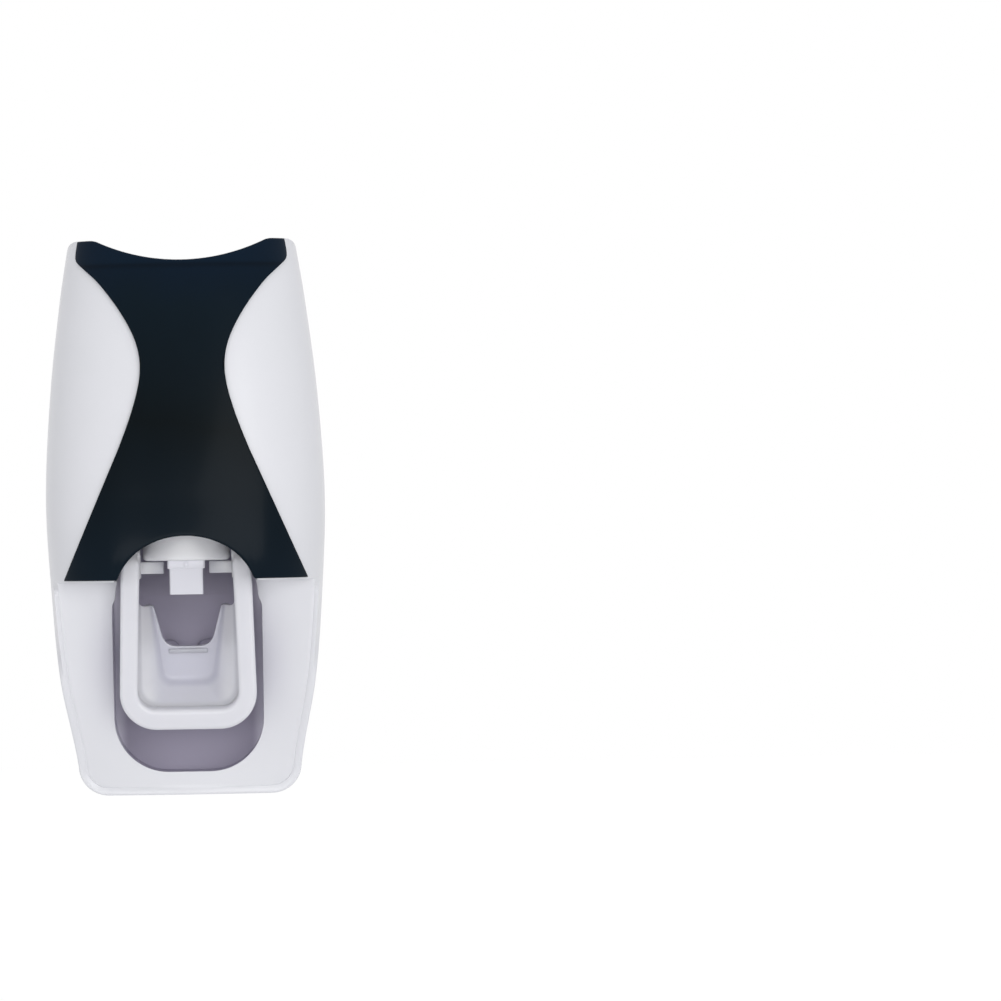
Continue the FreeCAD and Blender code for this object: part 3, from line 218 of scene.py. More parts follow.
plastic = {"coat": 0.25, "coatRough": 0.16, "specular": 0.45, "clouds": 60.0, "grain": 2400.0,
           "cloudRough": 0.06, "grainRough": 0.05, "cloudHeight": 2.0, "grainHeight": 0.4,
           "strength": 0.12, "distance": 0.00004, "tint": "DDDEE1", "shade": "E1E1E5",
           "milky": {"Subsurface_Weight": 0.6, "Subsurface_Radius": (1.0, 0.98, 0.96),
                     "Subsurface_Scale": 0.004}}


def mouldedFinish(name, rough, coat=plastic["coat"], clouds=plastic["clouds"], **fixed):
    # moulded plastic that still needs a colour, and its clouds; rough is its lowest roughness
    made = Finish(name, Coat_Weight=coat, Coat_Roughness=plastic["coatRough"],
                  Specular_IOR_Level=plastic["specular"], **fixed)
    cloud = made.noise(clouds)
    grain = made.noise(plastic["grain"])
    made.feed("Roughness", rough + cloud * plastic["cloudRough"] + grain * plastic["grainRough"])
    made.bump(grain * plastic["grainHeight"] + cloud * plastic["cloudHeight"], plastic["strength"],
              plastic["distance"])
    return made, cloud


def plainWhite(name, tint, shade, rough, **more):
    made, cloud = mouldedFinish(name, rough, **more)
    made.feed("Base Color", made.mix(cloud, tint, shade))
    return made.material


# the shell's roughness, and the place, size, strength and colour of the painted shade beside the recess
hollow = {"rough": 0.29, "x": 0.0185, "z": -0.064, "wide": 0.0062, "tall": 0.0135, "share": 0.85,
          "tint": "C3C2CB"}


def shellWhiteShaded(name):
    # painted shade: slightly darker beside the recess, where the hollow of the apron is deepest
    made, cloud = mouldedFinish(name, hollow["rough"])
    away = (made.halfWidth() - hollow["x"]) / hollow["wide"]
    rise = (made.along("Z") - hollow["z"]) / hollow["tall"]
    # the spot of painted shade
    spot = made.single("EXPONENT", (away * away + rise * rise) * -1.0)
    white = made.mix(cloud, plastic["tint"], plastic["shade"])
    made.feed("Base Color", made.mix(spot * hollow["share"], white, hollow["tint"]))
    return made.material


# slope is the tangent of the lever's lean; floorShade and wall are places behind its leaning front, where the
# painted shade of the floor and the colour of the side wall begin
trough = {"rough": 0.26, "slope": 0.1944, "front": -0.0072, "floorShade": (-0.0352, -0.0322), "floorShadeClouds": 0.001,
          "wall": (-0.0436, -0.0415), "side": (0.0065, 0.0105)}


def leverWhiteShaded(name):
    # painted shade darkens the floor at the back of the trough, and painted light makes the side wall lighter
    # towards the outside
    made, cloud = mouldedFinish(name, trough["rough"], **plastic["milky"])
    back = made.along("Y") + made.along("Z") * trough["slope"] - trough["front"]
    # painted shade on the floor of the trough
    floorShade = made.between(back + cloud * trough["floorShadeClouds"], *trough["floorShade"])
    wall = made.between(back, *trough["wall"])
    side = made.between(made.halfWidth(), *trough["side"])
    ring = made.mix(cloud, "DBDBE0", "DEDEE2")
    # painted light: lighter towards the outside of the side wall
    paintedLightWalls = made.mix(side, "E2E2E9", "F8F8FB")
    made.feed("Base Color", made.mix(floorShade, made.mix(wall, ring, paintedLightWalls), "CDCDD7"))
    return made.material


gloss = {"rough": 0.2, "spread": 0.1, "foot": -0.044, "tall": 0.084, "clouds": 38.0, "cloudShare": 0.25,
         "ripples": 120.0,
         "tones": [(0.0, "0B1822"), (0.45, "050D11"), (0.8, "08161F"), (1.0, "081828")],
         "lip": (0.0354, 0.0362), "fold": 0.0353, "foldShadeWide": 0.0007, "share": 0.35}


def darkGloss(name):
    # deep blue black under a thin clear coat, darker in the middle of its height; the lighter blue of the
    # turned-in lip is a painted reflection, and the dark line in its fold is painted shade
    made = Finish(name, Coat_Weight=0.03, Coat_Roughness=0.12, Specular_IOR_Level=0.05)
    high = made.along("Z")
    cloud = made.noise(gloss["clouds"], 3.0)
    level = (high - gloss["foot"]) / gloss["tall"] + (cloud - 0.5) * gloss["cloudShare"]
    tone = made.node("ShaderNodeValToRGB", "Color", stops=gloss["tones"], Fac=level)
    # painted reflection: the turned-in lip is a lighter blue
    lip = made.between(high, *gloss["lip"])
    # painted shade: a dark line along the fold
    away = (high - gloss["fold"]) / gloss["foldShadeWide"]
    fold = made.single("EXPONENT", away * away * -1.0)
    body = made.mix(lip * gloss["share"], tone, "0A1D2D")
    made.feed("Base Color", made.mix(fold * gloss["share"], body, "02060A"))
    made.feed("Roughness", gloss["rough"] + cloud * gloss["spread"])
    made.bump(made.noise(gloss["ripples"]), strength=0.05, distance=0.00005)
    return made.material


liner = {"clouds": 45.0, "grain": 3200.0, "wall": (0.0155, 0.0185)}


def greyLiner(name):
    # painted light: the sides of the recess get little light, so they are coloured lighter than the back
    made = Finish(name, Specular_IOR_Level=0.35)
    # mask of the painted light on the sides
    wall = made.between(made.halfWidth(), *liner["wall"])
    back = made.mix(made.noise(liner["clouds"]), "A7A2B4", "B0ABBC")
    made.feed("Base Color", made.mix(wall, back, "E2DFEA"))
    made.grained(made.noise(liner["grain"]), rough=0.5, spread=0.12, strength=0.25, distance=0.00004)
    return made.material


rubber = {"clouds": 70.0, "grain": 1800.0, "detail": 3.0}


def softRubber(name, tint, shade):
    made = Finish(name, Specular_IOR_Level=0.3)
    made.feed("Base Color", made.mix(made.noise(rubber["clouds"]), tint, shade))
    grain = made.noise(rubber["grain"], rubber["detail"])
    made.grained(grain, rough=0.52, spread=0.14, strength=0.2, distance=0.00006)
    return made.material


metal = {"clouds": 90.0, "lines": 900.0, "detail": 3.0, "stretch": (1.0, 1.0, 14.0)}


def brightSteel(name):
    # fine lines drawn across z
    made = Finish(name, Metallic=1.0)
    stretched = made.node("ShaderNodeMapping", "Vector", Vector=made.place, Scale=metal["stretch"])
    lines = made.noise(metal["lines"], metal["detail"], stretched)
    made.feed("Base Color", made.mix(made.noise(metal["clouds"]), "B4B7BB", "C6C8CB"))
    made.grained(lines, rough=0.24, spread=0.16, strength=0.15, distance=0.00003)
    return made.material


foam = {"clouds": 120.0, "pores": 2600.0}


def foamTape(name):
    made = Finish(name, Specular_IOR_Level=0.2)
    pores = made.node("ShaderNodeTexVoronoi", "Distance", Vector=made.place, Scale=foam["pores"])
    made.feed("Base Color", made.mix(made.noise(foam["clouds"]), "8C8F95", "9DA0A5"))
    made.grained(pores, rough=0.75, spread=0.15, strength=0.5, distance=0.0001)
    return made.material


finishes = {
    "white_plastic": shellWhiteShaded("whiteShell"),
    "cover": plainWhite("coverWhite", plastic["tint"], plastic["shade"], 0.31, coat=0.1),
    "bumper": softRubber("bumperRubber", "A39EB0", "ADA8B9"),
    "spout": plainWhite("spoutWhite", "DCDCE3", "DFDFE5", 0.25),
    "dark_panel": darkGloss("darkPanel"),
    "grey_liner": greyLiner("greyLiner"),
    # painted light: the slide is coloured lighter than the lever, standing in for the light it misses under
    # the arch
    "clear_white_plastic": plainWhite("slideWhiteLit", "F8F8FA", "FAFAFC", 0.25, **plastic["milky"]),
    "lever": leverWhiteShaded("leverWhiteShaded"),
    "inner_plastic": plainWhite("innerPlastic", "C6C8CF", "CDCFD5", 0.4, coat=0.0, clouds=110.0),
    "silicone": softRubber("softGrip", "C2C6CD", "CBCFD4"),
    "steel": brightSteel("brightSteel"),
    "foam_tape": foamTape("foamTape"),
}
print("finishes made")

for row in frame["record"]["subparts"]:
    mesh = frame["nodes"][row["node"]].data
    mesh.materials.clear()
    mesh.materials.append(finishes[row["material_slot"]])


# Form of the housing, shared by the white shell and the dark panel

housing = {
    "tall": 140.0, "half": 35.2, "deep": 58.8, "wall": 2.2, "rear": 1.0,
    "fullness": 2.5, "rim": 2.2, "rimFoot": 2.5, "ledge": 54.3, "footCorner": 7.5, "topCorner": 2.2,
    "saddleHalf": 21.8, "saddleDrop": 5.3, "saddleBlend": 4.0,
    "archHalf": 18.0, "archRise": 15.4, "archTop": 65.65,
    "openingHalf": 18.9, "openingFoot": 5.8, "openingCorner": 13.6, "openingBlend": 2.6,
    "lipFrom": 133.7, "lipLean": 0.16,
    # share of the height, and there the shares of the half width and of the depths at flank and middle
    "levels": [(0.0, 0.773, 0.340, 0.493), (0.081, 0.818, 0.410, 0.595), (0.214, 0.915, 0.476, 0.816),
               (0.388, 0.977, 0.510, 1.000), (0.543, 1.000, 0.527, 0.986), (0.729, 0.957, 0.493, 0.918),
               (0.893, 0.881, 0.459, 0.833), (1.0, 0.815, 0.425, 0.757)],
    # height, and the depth of the apron's middle
    "dish": [(2.5, 28.5), (11.34, 29.8), (29.96, 34.0), (54.3, 38.0)],
}
halfRow, flankRow, middleRow = [
    [(housing["tall"] * level[0], housing[size] * level[k]) for level in housing["levels"]]
    for k, size in ((1, "half"), (2, "deep"), (3, "deep"))]
saddleRadius = (housing["saddleHalf"] ** 2 + housing["saddleDrop"] ** 2) / (2 * housing["saddleDrop"])
archCentre = housing["archTop"] - housing["archRise"]


def halfAt(z):
    return curveThrough(halfRow, z)


def frontDepth(x, z):
    # depth of the outer surface from the wall
    half, flank, middle = halfAt(z), curveThrough(flankRow, z), curveThrough(middleRow, z)
    share = min(abs(x) / half, 1.0)
    power = housing["fullness"]
    depth = flank + (middle - flank) * (1 - share ** power) ** (1 / power)
    return depth - housing["lipLean"] * max(z - housing["lipFrom"], 0)


def dishDepth(x, z):
    # depth of the hollow of the apron
    rim = halfAt(z) - housing["rim"]
    centre = curveThrough(housing["dish"], z)
    return centre + (frontDepth(rim, z) - centre) * (x / rim) ** 2


def topAt(x):
    # height of the top edge: rounded ends, rounded crests and the shallow saddle between them
    top, blend, drop, turn = [housing[name] for name in ("tall", "saddleBlend", "saddleDrop", "topCorner")]
    reach = saddleRadius + blend
    crest = math.sqrt(2 * reach * drop - drop ** 2)
    meet = crest * saddleRadius / reach
    corner = halfAt(top) - turn
    x = abs(x)
    if x <= meet:
        return top - drop + saddleRadius - math.sqrt(saddleRadius ** 2 - x ** 2)
    if x <= crest:
        return top - blend + math.sqrt(blend ** 2 - (crest - x) ** 2)
    if x > corner:
        return top - turn + math.sqrt(max(turn ** 2 - (x - corner) ** 2, 0))
    return top


def archAt(x, grow=0.0):
    # height of the arch over the lever, or the ledge beside it
    half = housing["archHalf"] + grow
    if abs(x) >= half:
        return housing["ledge"]
    rise = (housing["archRise"] + grow) * math.sqrt(1 - (x / half) ** 2)
    return max(archCentre + rise, housing["ledge"])


def archEnd(grow=0.0):
    # half width of the arch where it meets the ledge
    low = housing["ledge"] - archCentre
    return (housing["archHalf"] + grow) * math.sqrt(1 - (low / (housing["archRise"] + grow)) ** 2)


def outlineSteps(counts):
    # places along half an outline: up to 1 down its side, to 2 round its corner, to 3 along its foot
    return ([k / counts["side"] for k in range(counts["side"])]
            + [1 + k / counts["corner"] for k in range(counts["corner"])]
            + [2 + k / counts["foot"] for k in range(counts["foot"] + 1)])


def mirrored(j, steps):
    # the side that line j lies on, and its step in the right half
    return (1, j) if j < len(steps) else (-1, len(steps) * 2 - 2 - j)


# Mesh helpers

merge = {"fine": 1e-6, "seam": 2e-5, "packed": 2e-6}


def gridMesh(columns, lines, form):
    # a grid whose vertex in column i and line j moves to form(i, j)
    bm = bmesh.new()
    bmesh.ops.create_grid(bm, x_segments=columns - 1, y_segments=lines - 1, size=1.0)
    for vert in bm.verts:
        i = round((vert.co.x + 1) / 2 * (columns - 1))
        j = round((vert.co.y + 1) / 2 * (lines - 1))
        vert.co = toFrame(*form(i, j))
    return bm


def asMesh(name, bm):
    mesh = bpy.data.meshes.new(name)
    bm.to_mesh(mesh)
    bm.free()
    return mesh


def addObject(name, data):
    made = bpy.data.objects.new(name, data)
    bpy.context.scene.collection.objects.link(made)
    return made


def fixNormals(bm):
    bmesh.ops.recalc_face_normals(bm, faces=bm.faces)


def closeSeams(bm, distance):
    bmesh.ops.remove_doubles(bm, verts=bm.verts, dist=distance)
    bmesh.ops.dissolve_degenerate(bm, edges=bm.edges, dist=merge["fine"])


def faceFront(bm):
    # makes the faces of an open sheet point away from the wall
    fixNormals(bm)
    if sum(f.normal.y * f.calc_area() for f in bm.faces) > 0:
        bmesh.ops.reverse_faces(bm, faces=bm.faces)


def addTo(target, source):
    mesh = asMesh("part", source)
    target.from_mesh(mesh)
    bpy.data.meshes.remove(mesh)


def makePiece(name, bm, slotName, body, node, sharpAngle=32.0, finish=None):
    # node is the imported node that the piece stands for, or several of them
    mesh = asMesh(name, bm)
    mesh.materials.append(finishes[finish or slotName])
    mesh.polygons.foreach_set("use_smooth", [True] * len(mesh.polygons))
    mesh.set_sharp_from_angle(angle=math.radians(sharpAngle))
    piece = addObject(name, mesh)
    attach(piece, body)
    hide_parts(*([node] if isinstance(node, str) else node))
    return piece


def addWall(piece, thick):
    wall = piece.modifiers.new("wall", "SOLIDIFY")
    wall.thickness = thick / perMetre
    wall.offset = -1.0      # inwards
    wall.use_even_offset = False


def addRounding(piece, width, angle=35.0):
    rounding = piece.modifiers.new("rounding", "BEVEL")
    rounding.width = width / perMetre
    rounding.segments = 3
    rounding.limit_method = "ANGLE"
    rounding.angle_limit = math.radians(angle)
    rounding.miter_outer = "MITER_ARC"


# White shell: the upper front with the ledge, and the rim and dished apron below it

# the first two rows are counts
shell = {"flank": 4, "shoulder": 7, "dish": 12, "arch": 44, "upper": 46, "ledgeLines": 4, "cap": 4,
         "side": 48, "corner": 16, "foot": 16, "lip": 3, "edgeRounds": 3, "rounds": 4,
         "gather": 1.7, "ease": 0.25, "rimShown": 1.3, "edgeRound": 0.4, "crestEnd": 1.0, "fallEnd": 1.9,
         "step": 0.25, "halfStep": 0.55, "stepPower": 4, "settle": 0.06, "flankSettle": 0.6,
         "archGap": 0.5, "archLip": 3.0, "wall": 1.6, "round": 0.3, "roundAngle": 48.0,
         "trim": 0.9994, "near": 0.01}
edgeCount = shell["flank"] + shell["shoulder"] + 1


def edgeColumns(px, pz, qx, qz):
    # from the rear rim along the flank and round the shoulder to the rim line at qx, qz
    columns = []
    for k in range(shell["flank"]):
        t = k / shell["flank"]
        flank = frontDepth(px, pz)
        columns.append((px, housing["rear"] + t * (flank - housing["rear"]), pz))
    for k in range(shell["shoulder"] + 1):
        t = 1 - math.cos(quarterTurn * k / shell["shoulder"])
        x, z = px + t * (qx - px), pz + t * (qz - pz)
        columns.append((x, frontDepth(x, z), z))
    return columns


def upperForm():
    ledge, top, ledgeLines = housing["ledge"], housing["tall"], shell["ledgeLines"]
    low = halfAt(ledge)
    rim = low - shell["rimShown"]
    end = archEnd(shell["archGap"])
    shares = []      # share of the half width for each column of the right side, rim to arch
    for k in range(1, shell["dish"] + 1):
        shares.append((rim + (end - rim) * (k / shell["dish"]) ** shell["gather"]) / low)
    across = [end / low * math.cos(math.pi * k / shell["arch"]) for k in range(1, shell["arch"])]
    inner = shares + across + [-share for share in reversed(shares)]
    columns = edgeCount * 2 + len(inner)

    def edgeSpot(k, climb):
        # on the flank and the shoulder, where width and height depend on each other
        z = ledge + climb * (topAt(halfAt(top)) - ledge)
        if k >= shell["flank"]:
            t = 1 - math.cos(quarterTurn * (k - shell["flank"]) / shell["shoulder"])
            for turn in range(shell["edgeRounds"]):
                half = halfAt(z)
                x = half - t * shell["rimShown"] * half / low
                z = ledge + climb * (topAt(x / half * halfAt(top)) - ledge)
        half = halfAt(z)
        return edgeColumns(half, z, half - shell["rimShown"] * half / low, z)[k]

    def innerSpot(share, climb, j):
        z = ledge
        for turn in range(shell["rounds"]):
            x = share * halfAt(z)
            foot = archAt(x, shell["archGap"])
            z = foot + climb * (topAt(x) - foot)
        x = share * halfAt(z)
        depth = frontDepth(x, z)
        if j < ledgeLines:      # the shelf of the ledge, and the edge of the arch
            onLedge = z <= ledge + shell["near"]
            inside = min(dishDepth(x, z), depth) if onLedge else depth - shell["archLip"]
            depth += (1 - j / ledgeLines) * (inside - depth)
        return x, -depth, z

    def capSpot(x, y, z, over):
        # the top edge rolls round the corner of the outline
        turn = housing["topCorner"]
        corner = halfAt(top) - turn
        reach = abs(x) * (halfAt(top) / halfAt(z))
        if reach <= corner:
            return x, y, z
        start = math.acos(min((reach - corner) / turn, 1.0))
        angle = start + (quarterTurn - start) * over / shell["cap"]
        z = top - turn + turn * math.sin(angle)
        return math.copysign((corner + turn * math.cos(angle)) * halfAt(z) / halfAt(top), x), y, z

    def form(i, j):
        over = j - ledgeLines - shell["upper"]
        if over > 0:
            return capSpot(*form(i, j - over), over)
        climb = eased(max(j - ledgeLines, 0) / shell["upper"], shell["ease"])
        if edgeCount <= i < columns - edgeCount:
            return innerSpot(inner[i - edgeCount], climb, j)
        side, k = (1, i) if i < edgeCount else (-1, columns - 1 - i)
        x, depth, z = edgeSpot(k, climb)
        return side * x, -depth, z

    return columns, ledgeLines + shell["upper"] + shell["cap"] + 1, form


def outlineAt(run):
    # right half of the outline from the ledge down to the middle of the foot: outer point and rim point
    corner, rim, rimFoot = housing["footCorner"], housing["rim"], housing["rimFoot"]
    start = halfAt(corner)
    if run <= 1:
        z = housing["ledge"] + run * (corner - housing["ledge"])
        half = halfAt(z)
        return (half, z), (half - rim, z)
    if run <= 2:
        turn = (run - 1) * quarterTurn
        small = corner - rim
        outer = (start - corner + corner * math.cos(turn), corner - corner * math.sin(turn))
        inner = (start - corner + small * math.cos(turn), corner - (corner - rimFoot) * math.sin(turn))
        return outer, inner
    x = (start - corner) * (3 - run)
    return (x, 0.0), (x, rimFoot)


def openingAt(run):
    # right half of the opening's edge from the ledge down to the middle of its foot
    half, foot, corner = housing["openingHalf"], housing["openingFoot"], housing["openingCorner"]
    if run <= 1:
        z = housing["ledge"] + run * (foot + corner - housing["ledge"])
        arch = housing["archHalf"]
        if z > archCentre:
            return arch * math.sqrt(1 - ((z - archCentre) / housing["archRise"]) ** 2), z
        return half - (half - arch) * smooth(archCentre - housing["openingBlend"], archCentre, z), z
    if run <= 2:
        turn = (run - 1) * quarterTurn
        return half - corner + corner * math.cos(turn), foot + corner - corner * math.sin(turn)
    return (half - corner) * (3 - run), foot


def lowerForm():
    steps = outlineSteps(shell)
    crestEnd, fallEnd, step, bead = [shell[name] for name in ("crestEnd", "fallEnd", "step", "edgeRound")]
    falling = [(crestEnd, 0.0), ((crestEnd + fallEnd) / 2, step * shell["halfStep"]), (fallEnd, step)]
    turned = shell["shoulder"] - len(falling)
    rounded = [quarterTurn * k / turned for k in range(turned + 1)]
    crestSteps = [(bead * (1 - math.cos(a)), bead * (1 - math.sin(a))) for a in rounded] + falling

    def form(i, j):
        side, row = mirrored(j, steps)
        run = steps[row]
        (px, pz), (qx, qz) = outlineAt(run)
        blend = smooth(0.0, shell["settle"], run)
        flankBlend = smooth(0.0, shell["flankSettle"], run)
        inset = math.hypot(qx - px, qz - pz)
        crest = min(frontDepth(qx, qz), dishDepth(qx, qz) + step)
        if i < edgeCount:
            reach = shell["rimShown"] / inset
            x, depth, z = edgeColumns(px, pz, px + reach * (qx - px), pz + reach * (qz - pz))[i]
            if i < shell["flank"]:
                rear = housing["rear"]
                full = rear + (depth - rear) / (frontDepth(px, pz) - rear) * (crest - bead - rear)
                return side * x, -(depth + flankBlend * (full - depth)), z
            away, fall = crestSteps[i - shell["flank"]]
            part = blend if i > shell["flank"] + turned else flankBlend
            sx, sz = px + away / inset * (qx - px), pz + away / inset * (qz - pz)
            x, z = x + part * (sx - x), z + part * (sz - z)
            return side * x, -(depth + part * (crest - fall - depth)), z
        ox, oz = openingAt(run)
        start = shell["rimShown"] + blend * (fallEnd - shell["rimShown"])
        bx, bz = px + start / inset * (qx - px), pz + start / inset * (qz - pz)
        t = min((i - edgeCount + 1) / shell["dish"], 1.0) ** shell["gather"]
        x, z = bx + t * (ox - bx), bz + t * (oz - bz)
        rim = halfAt(z) - housing["rim"]
        sunk = blend * step * min(abs(x) / rim, 1.0) ** shell["stepPower"]
        depth = min(dishDepth(x, z), frontDepth(x, z)) - sunk
        inward = max(i - edgeCount - shell["dish"] + 1, 0)      # the edge of the opening turns inwards
        return side * x, -(depth - housing["wall"] * inward / shell["lip"]), z

    return edgeCount + shell["dish"] + shell["lip"], len(steps) * 2 - 1, form


def makeShell():
    bm = bmesh.new()
    addTo(bm, gridMesh(*upperForm()))
    addTo(bm, gridMesh(*lowerForm()))
    closeSeams(bm, merge["seam"])
    bmesh.ops.scale(bm, verts=bm.verts, vec=(shell["trim"], 1, 1))
    faceFront(bm)
    piece = makePiece("whiteShell", bm, "white_plastic", "housing", ("upper_shell", "lower_shell", "apron"),
                      sharpAngle=50.0)
    addWall(piece, shell["wall"])
    addRounding(piece, shell["round"], shell["roundAngle"])


makeShell()
print("white shell made")


# Dark front panel

panel = {"wall": 1.17, "proud": 1.13, "lift": 0.35, "across": 72, "lines": 84, "rounds": 12,
         "edgeRound": 0.35, "middle": 0.6, "ease": 0.3, "leadIn": 80.0,
         # height and half width, straight up to the second point
         "edge": [(54.3, 30.9), (87.0, 16.5), (98.0, 12.45), (106.5, 10.65), (113.5, 11.45), (121.0, 15.0),
                  (129.0, 20.8), (133.0, 24.9), (134.7, 26.5), (136.2, 26.75), (140.0, 26.2)]}


def panelEdge(z):
    (z0, x0), (z1, x1) = panel["edge"][:2]
    if z < z1:
        return x0 + (x1 - x0) * (z - z0) / (z1 - z0)
    return curveThrough([(panel["leadIn"], panelEdge(panel["leadIn"]))] + panel["edge"][1:], z)


def makePanel():
    foot = housing["ledge"] + panel["lift"]
    end = archEnd() / panel["edge"][0][1]
    middle = panel["middle"]      # share of the columns that lie across the arch
    shares = []
    for k in range(panel["across"] + 1):
        t = k / panel["across"] * 2 - 1
        if abs(t) < middle:
            shares.append(math.sin(t / middle * quarterTurn) * end)
        else:
            shares.append(math.copysign(end + (1 - end) * (abs(t) - middle) / (1 - middle), t))

    def form(i, j):
        climb = eased(j / panel["lines"], panel["ease"])
        z = foot + climb * (housing["tall"] - foot)
        for turn in range(panel["rounds"]):
            x = shares[i] * panelEdge(z)
            low = max(archAt(x), foot)
            z = 0.5 * z + 0.5 * (low + climb * (topAt(x) - low))
        x = shares[i] * panelEdge(z)
        return x, -(frontDepth(x, z) + panel["proud"]), z

    bm = gridMesh(panel["across"] + 1, panel["lines"] + 1, form)
    faceFront(bm)
    piece = makePiece("darkPanel", bm, "dark_panel", "housing", "front_panel", sharpAngle=60.0)
    addWall(piece, panel["wall"])
    addRounding(piece, panel["edgeRound"])


makePanel()
print("dark panel made")


# Small solids made with operators and joined into one mesh

turnTo = {"X": Matrix.Rotation(quarterTurn, 3, "Y"), "Y": Matrix.Rotation(quarterTurn, 3, "X"),
          "Z": Matrix.Identity(3)}


def putAt(bm, middle, along="Z"):
    # lays what stands upright at the origin along an axis, and moves it to a place on the bench
    bmesh.ops.rotate(bm, cent=(0, 0, 0), matrix=turnTo[along], verts=bm.verts)
    bmesh.ops.translate(bm, verts=bm.verts, vec=toFrame(*middle))


def bevelEdges(bm, edges, width, segments):
    bmesh.ops.bevel(bm, geom=edges, offset=width / perMetre, offset_type="OFFSET", affect="EDGES",
                    segments=segments, profile=0.5, material=-1, clamp_overlap=True, miter_outer="ARC")


def bevelSharp(bm, width, angle=35.0, segments=2):
    limit = math.radians(angle)
    sharp = [e for e in bm.edges if len(e.link_faces) == 2 and e.calc_face_angle(0.0) > limit]
    bevelEdges(bm, sharp, width, segments)
    bmesh.ops.remove_doubles(bm, verts=bm.verts, dist=merge["fine"])


def addBlock(target, low, high, width, segments=2, corner=0.0):
    # corner rounds the edges that run to the wall
    block = bmesh.new()
    bmesh.ops.create_cube(block, size=1.0)
    bmesh.ops.scale(block, verts=block.verts, vec=[(high[i] - low[i]) / perMetre for i in range(3)])
    putAt(block, [(high[i] + low[i]) / 2 for i in range(3)])
    if corner:
        along = [e for e in block.edges if abs((e.verts[0].co - e.verts[1].co).normalized().y) > 0.9]
        bevelEdges(block, along, corner, segments=8)
    bevelSharp(block, width, segments=segments)
    addTo(target, block)


def addRod(target, radius, length, middle, width, steps=48):
    # a rod along x with its middle at the point given
    rod = bmesh.new()
    bmesh.ops.create_cone(rod, cap_ends=True, segments=steps, radius1=radius / perMetre,
                          radius2=radius / perMetre, depth=length / perMetre)
    bevelSharp(rod, width, angle=60.0)
    putAt(rod, middle, "X")
    addTo(target, rod)


def addTurned(target, corners, middle, width=0.0, along="Z", steps=72):
    # the closed line through corners of radius and height is turned about an axis through the middle
    bm = bmesh.new()
    verts = [bm.verts.new((r / perMetre, 0, h / perMetre)) for r, h in corners]
    edges = [bm.edges.new((verts[k], verts[(k + 1) % len(verts)])) for k in range(len(verts))]
    bmesh.ops.spin(bm, geom=verts + edges, cent=(0, 0, 0), axis=(0, 0, 1), angle=2 * math.pi, steps=steps,
                   use_merge=True)
    closeSeams(bm, merge["fine"])
    fixNormals(bm)
    if width:
        bevelSharp(bm, width, angle=20.0)
    putAt(bm, middle, along)
    addTo(target, bm)


# Lever: the ring, the trough behind it, and the arms that lift the slide

lever = {"pivotDepth": 46.0, "pivotHeight": 61.0, "lean": 11.0, "front": 48.5, "rear": 43.5, "edge": 1.1,
         "width": 4.7, "throatDepth": 44.4, "floorDepth": 32.5, "wall": 1.4, "wallRound": 0.3, "round": 5,
         "side": 44, "corner": 16, "foot": 12, "slope": 12, "fold": 5, "strip": 7,
         "foldShare": 0.14, "foldEnd": 1.5, "shortest": 0.01,
         # half width at the top, half width at the foot, top, foot and corner
         "outer": (16.15, 17.45, 64.5, 16.3, 9.6), "inner": (11.45, 12.75, 64.5, 21.6, 4.6),
         "throat": (11.89, 12.75, 50.0, 21.6, 4.6), "floor": (9.6, 6.2, 50.0, 25.4, 2.8),
         # half width, height, and how much of each side the round of the corner takes
         "cut": [(12.4, 50.5, 0.0), (11.6, 46.9, 1.7), (8.6, 45.0, 1.4), (5.9, 34.4, 3.2), (0.0, 34.4, 0.0)],
         "cutSplit": 38.2, "cutSteps": 8,
         "lip": ((-4.95, -32.9, 32.7), (4.95, -32.2, 33.85)), "lipRound": 0.3}
arm = {"bossRadius": 2.45, "bossLength": 4.7, "bossMiddle": 13.8, "bossRound": 0.3,
       "inner": 11.45, "outer": 13.05, "rear": 32.5, "foot": 54.8, "top": 60.8, "round": 0.35,
       "tabInner": 5.7, "tabRadius": 1.5, "tabDepth": 34.0, "tabHeight": 57.5, "tabLong": 2.0,
       "tabRound": 0.3, "tabEndRound": 0.25}


def leverOutline(outline, run):
    # right half of an outline: down the side, round the corner and to the middle of the foot
    topHalf, footHalf, top, foot, corner = outline
    turn = min(max(run - 1, 0), 1) * quarterTurn
    z = top + run * (foot + corner - top) if run < 1 else foot + corner - corner * math.sin(turn)
    half = topHalf + (footHalf - topHalf) * (top - z) / (top - foot)
    x = half - corner + corner * math.cos(turn)
    return (x * (3 - run) if run > 2 else x), z


def leaned(x, depth, z):
    angle = math.radians(lever["lean"])
    y, rise = lever["pivotDepth"] - depth, z - lever["pivotHeight"]
    return (x, -lever["pivotDepth"] + y * math.cos(angle) - rise * math.sin(angle),
            lever["pivotHeight"] + y * math.sin(angle) + rise * math.cos(angle))


def ringForm():
    # rounded section carried along the ring: share 0 is its outer line and 1 its inner line
    edge, reach, section = lever["edge"], lever["edge"] / lever["width"], []
    arc = [quarterTurn * k / lever["round"] for k in range(lever["round"] + 1)]
    for across, out, angles in ((-1, 1, arc), (1, 1, arc[::-1]), (1, -1, arc), (-1, -1, arc[::-1])):
        for a in angles:
            share = (reach if across < 0 else 1 - reach) + across * reach * math.cos(a)
            middle = lever["front"] - edge if out > 0 else lever["rear"] + edge
            section.append((share, middle + out * edge * math.sin(a)))
    section.append(section[0])
    steps = outlineSteps(lever)

    def form(i, j):
        side, row = mirrored(j, steps)
        ox, oz = leverOutline(lever["outer"], steps[row])
        nx, nz = leverOutline(lever["inner"], steps[row])
        share, depth = section[i]
        return leaned(side * (ox + share * (nx - ox)), depth, oz + share * (nz - oz))

    return len(section), len(steps) * 2 - 1, form


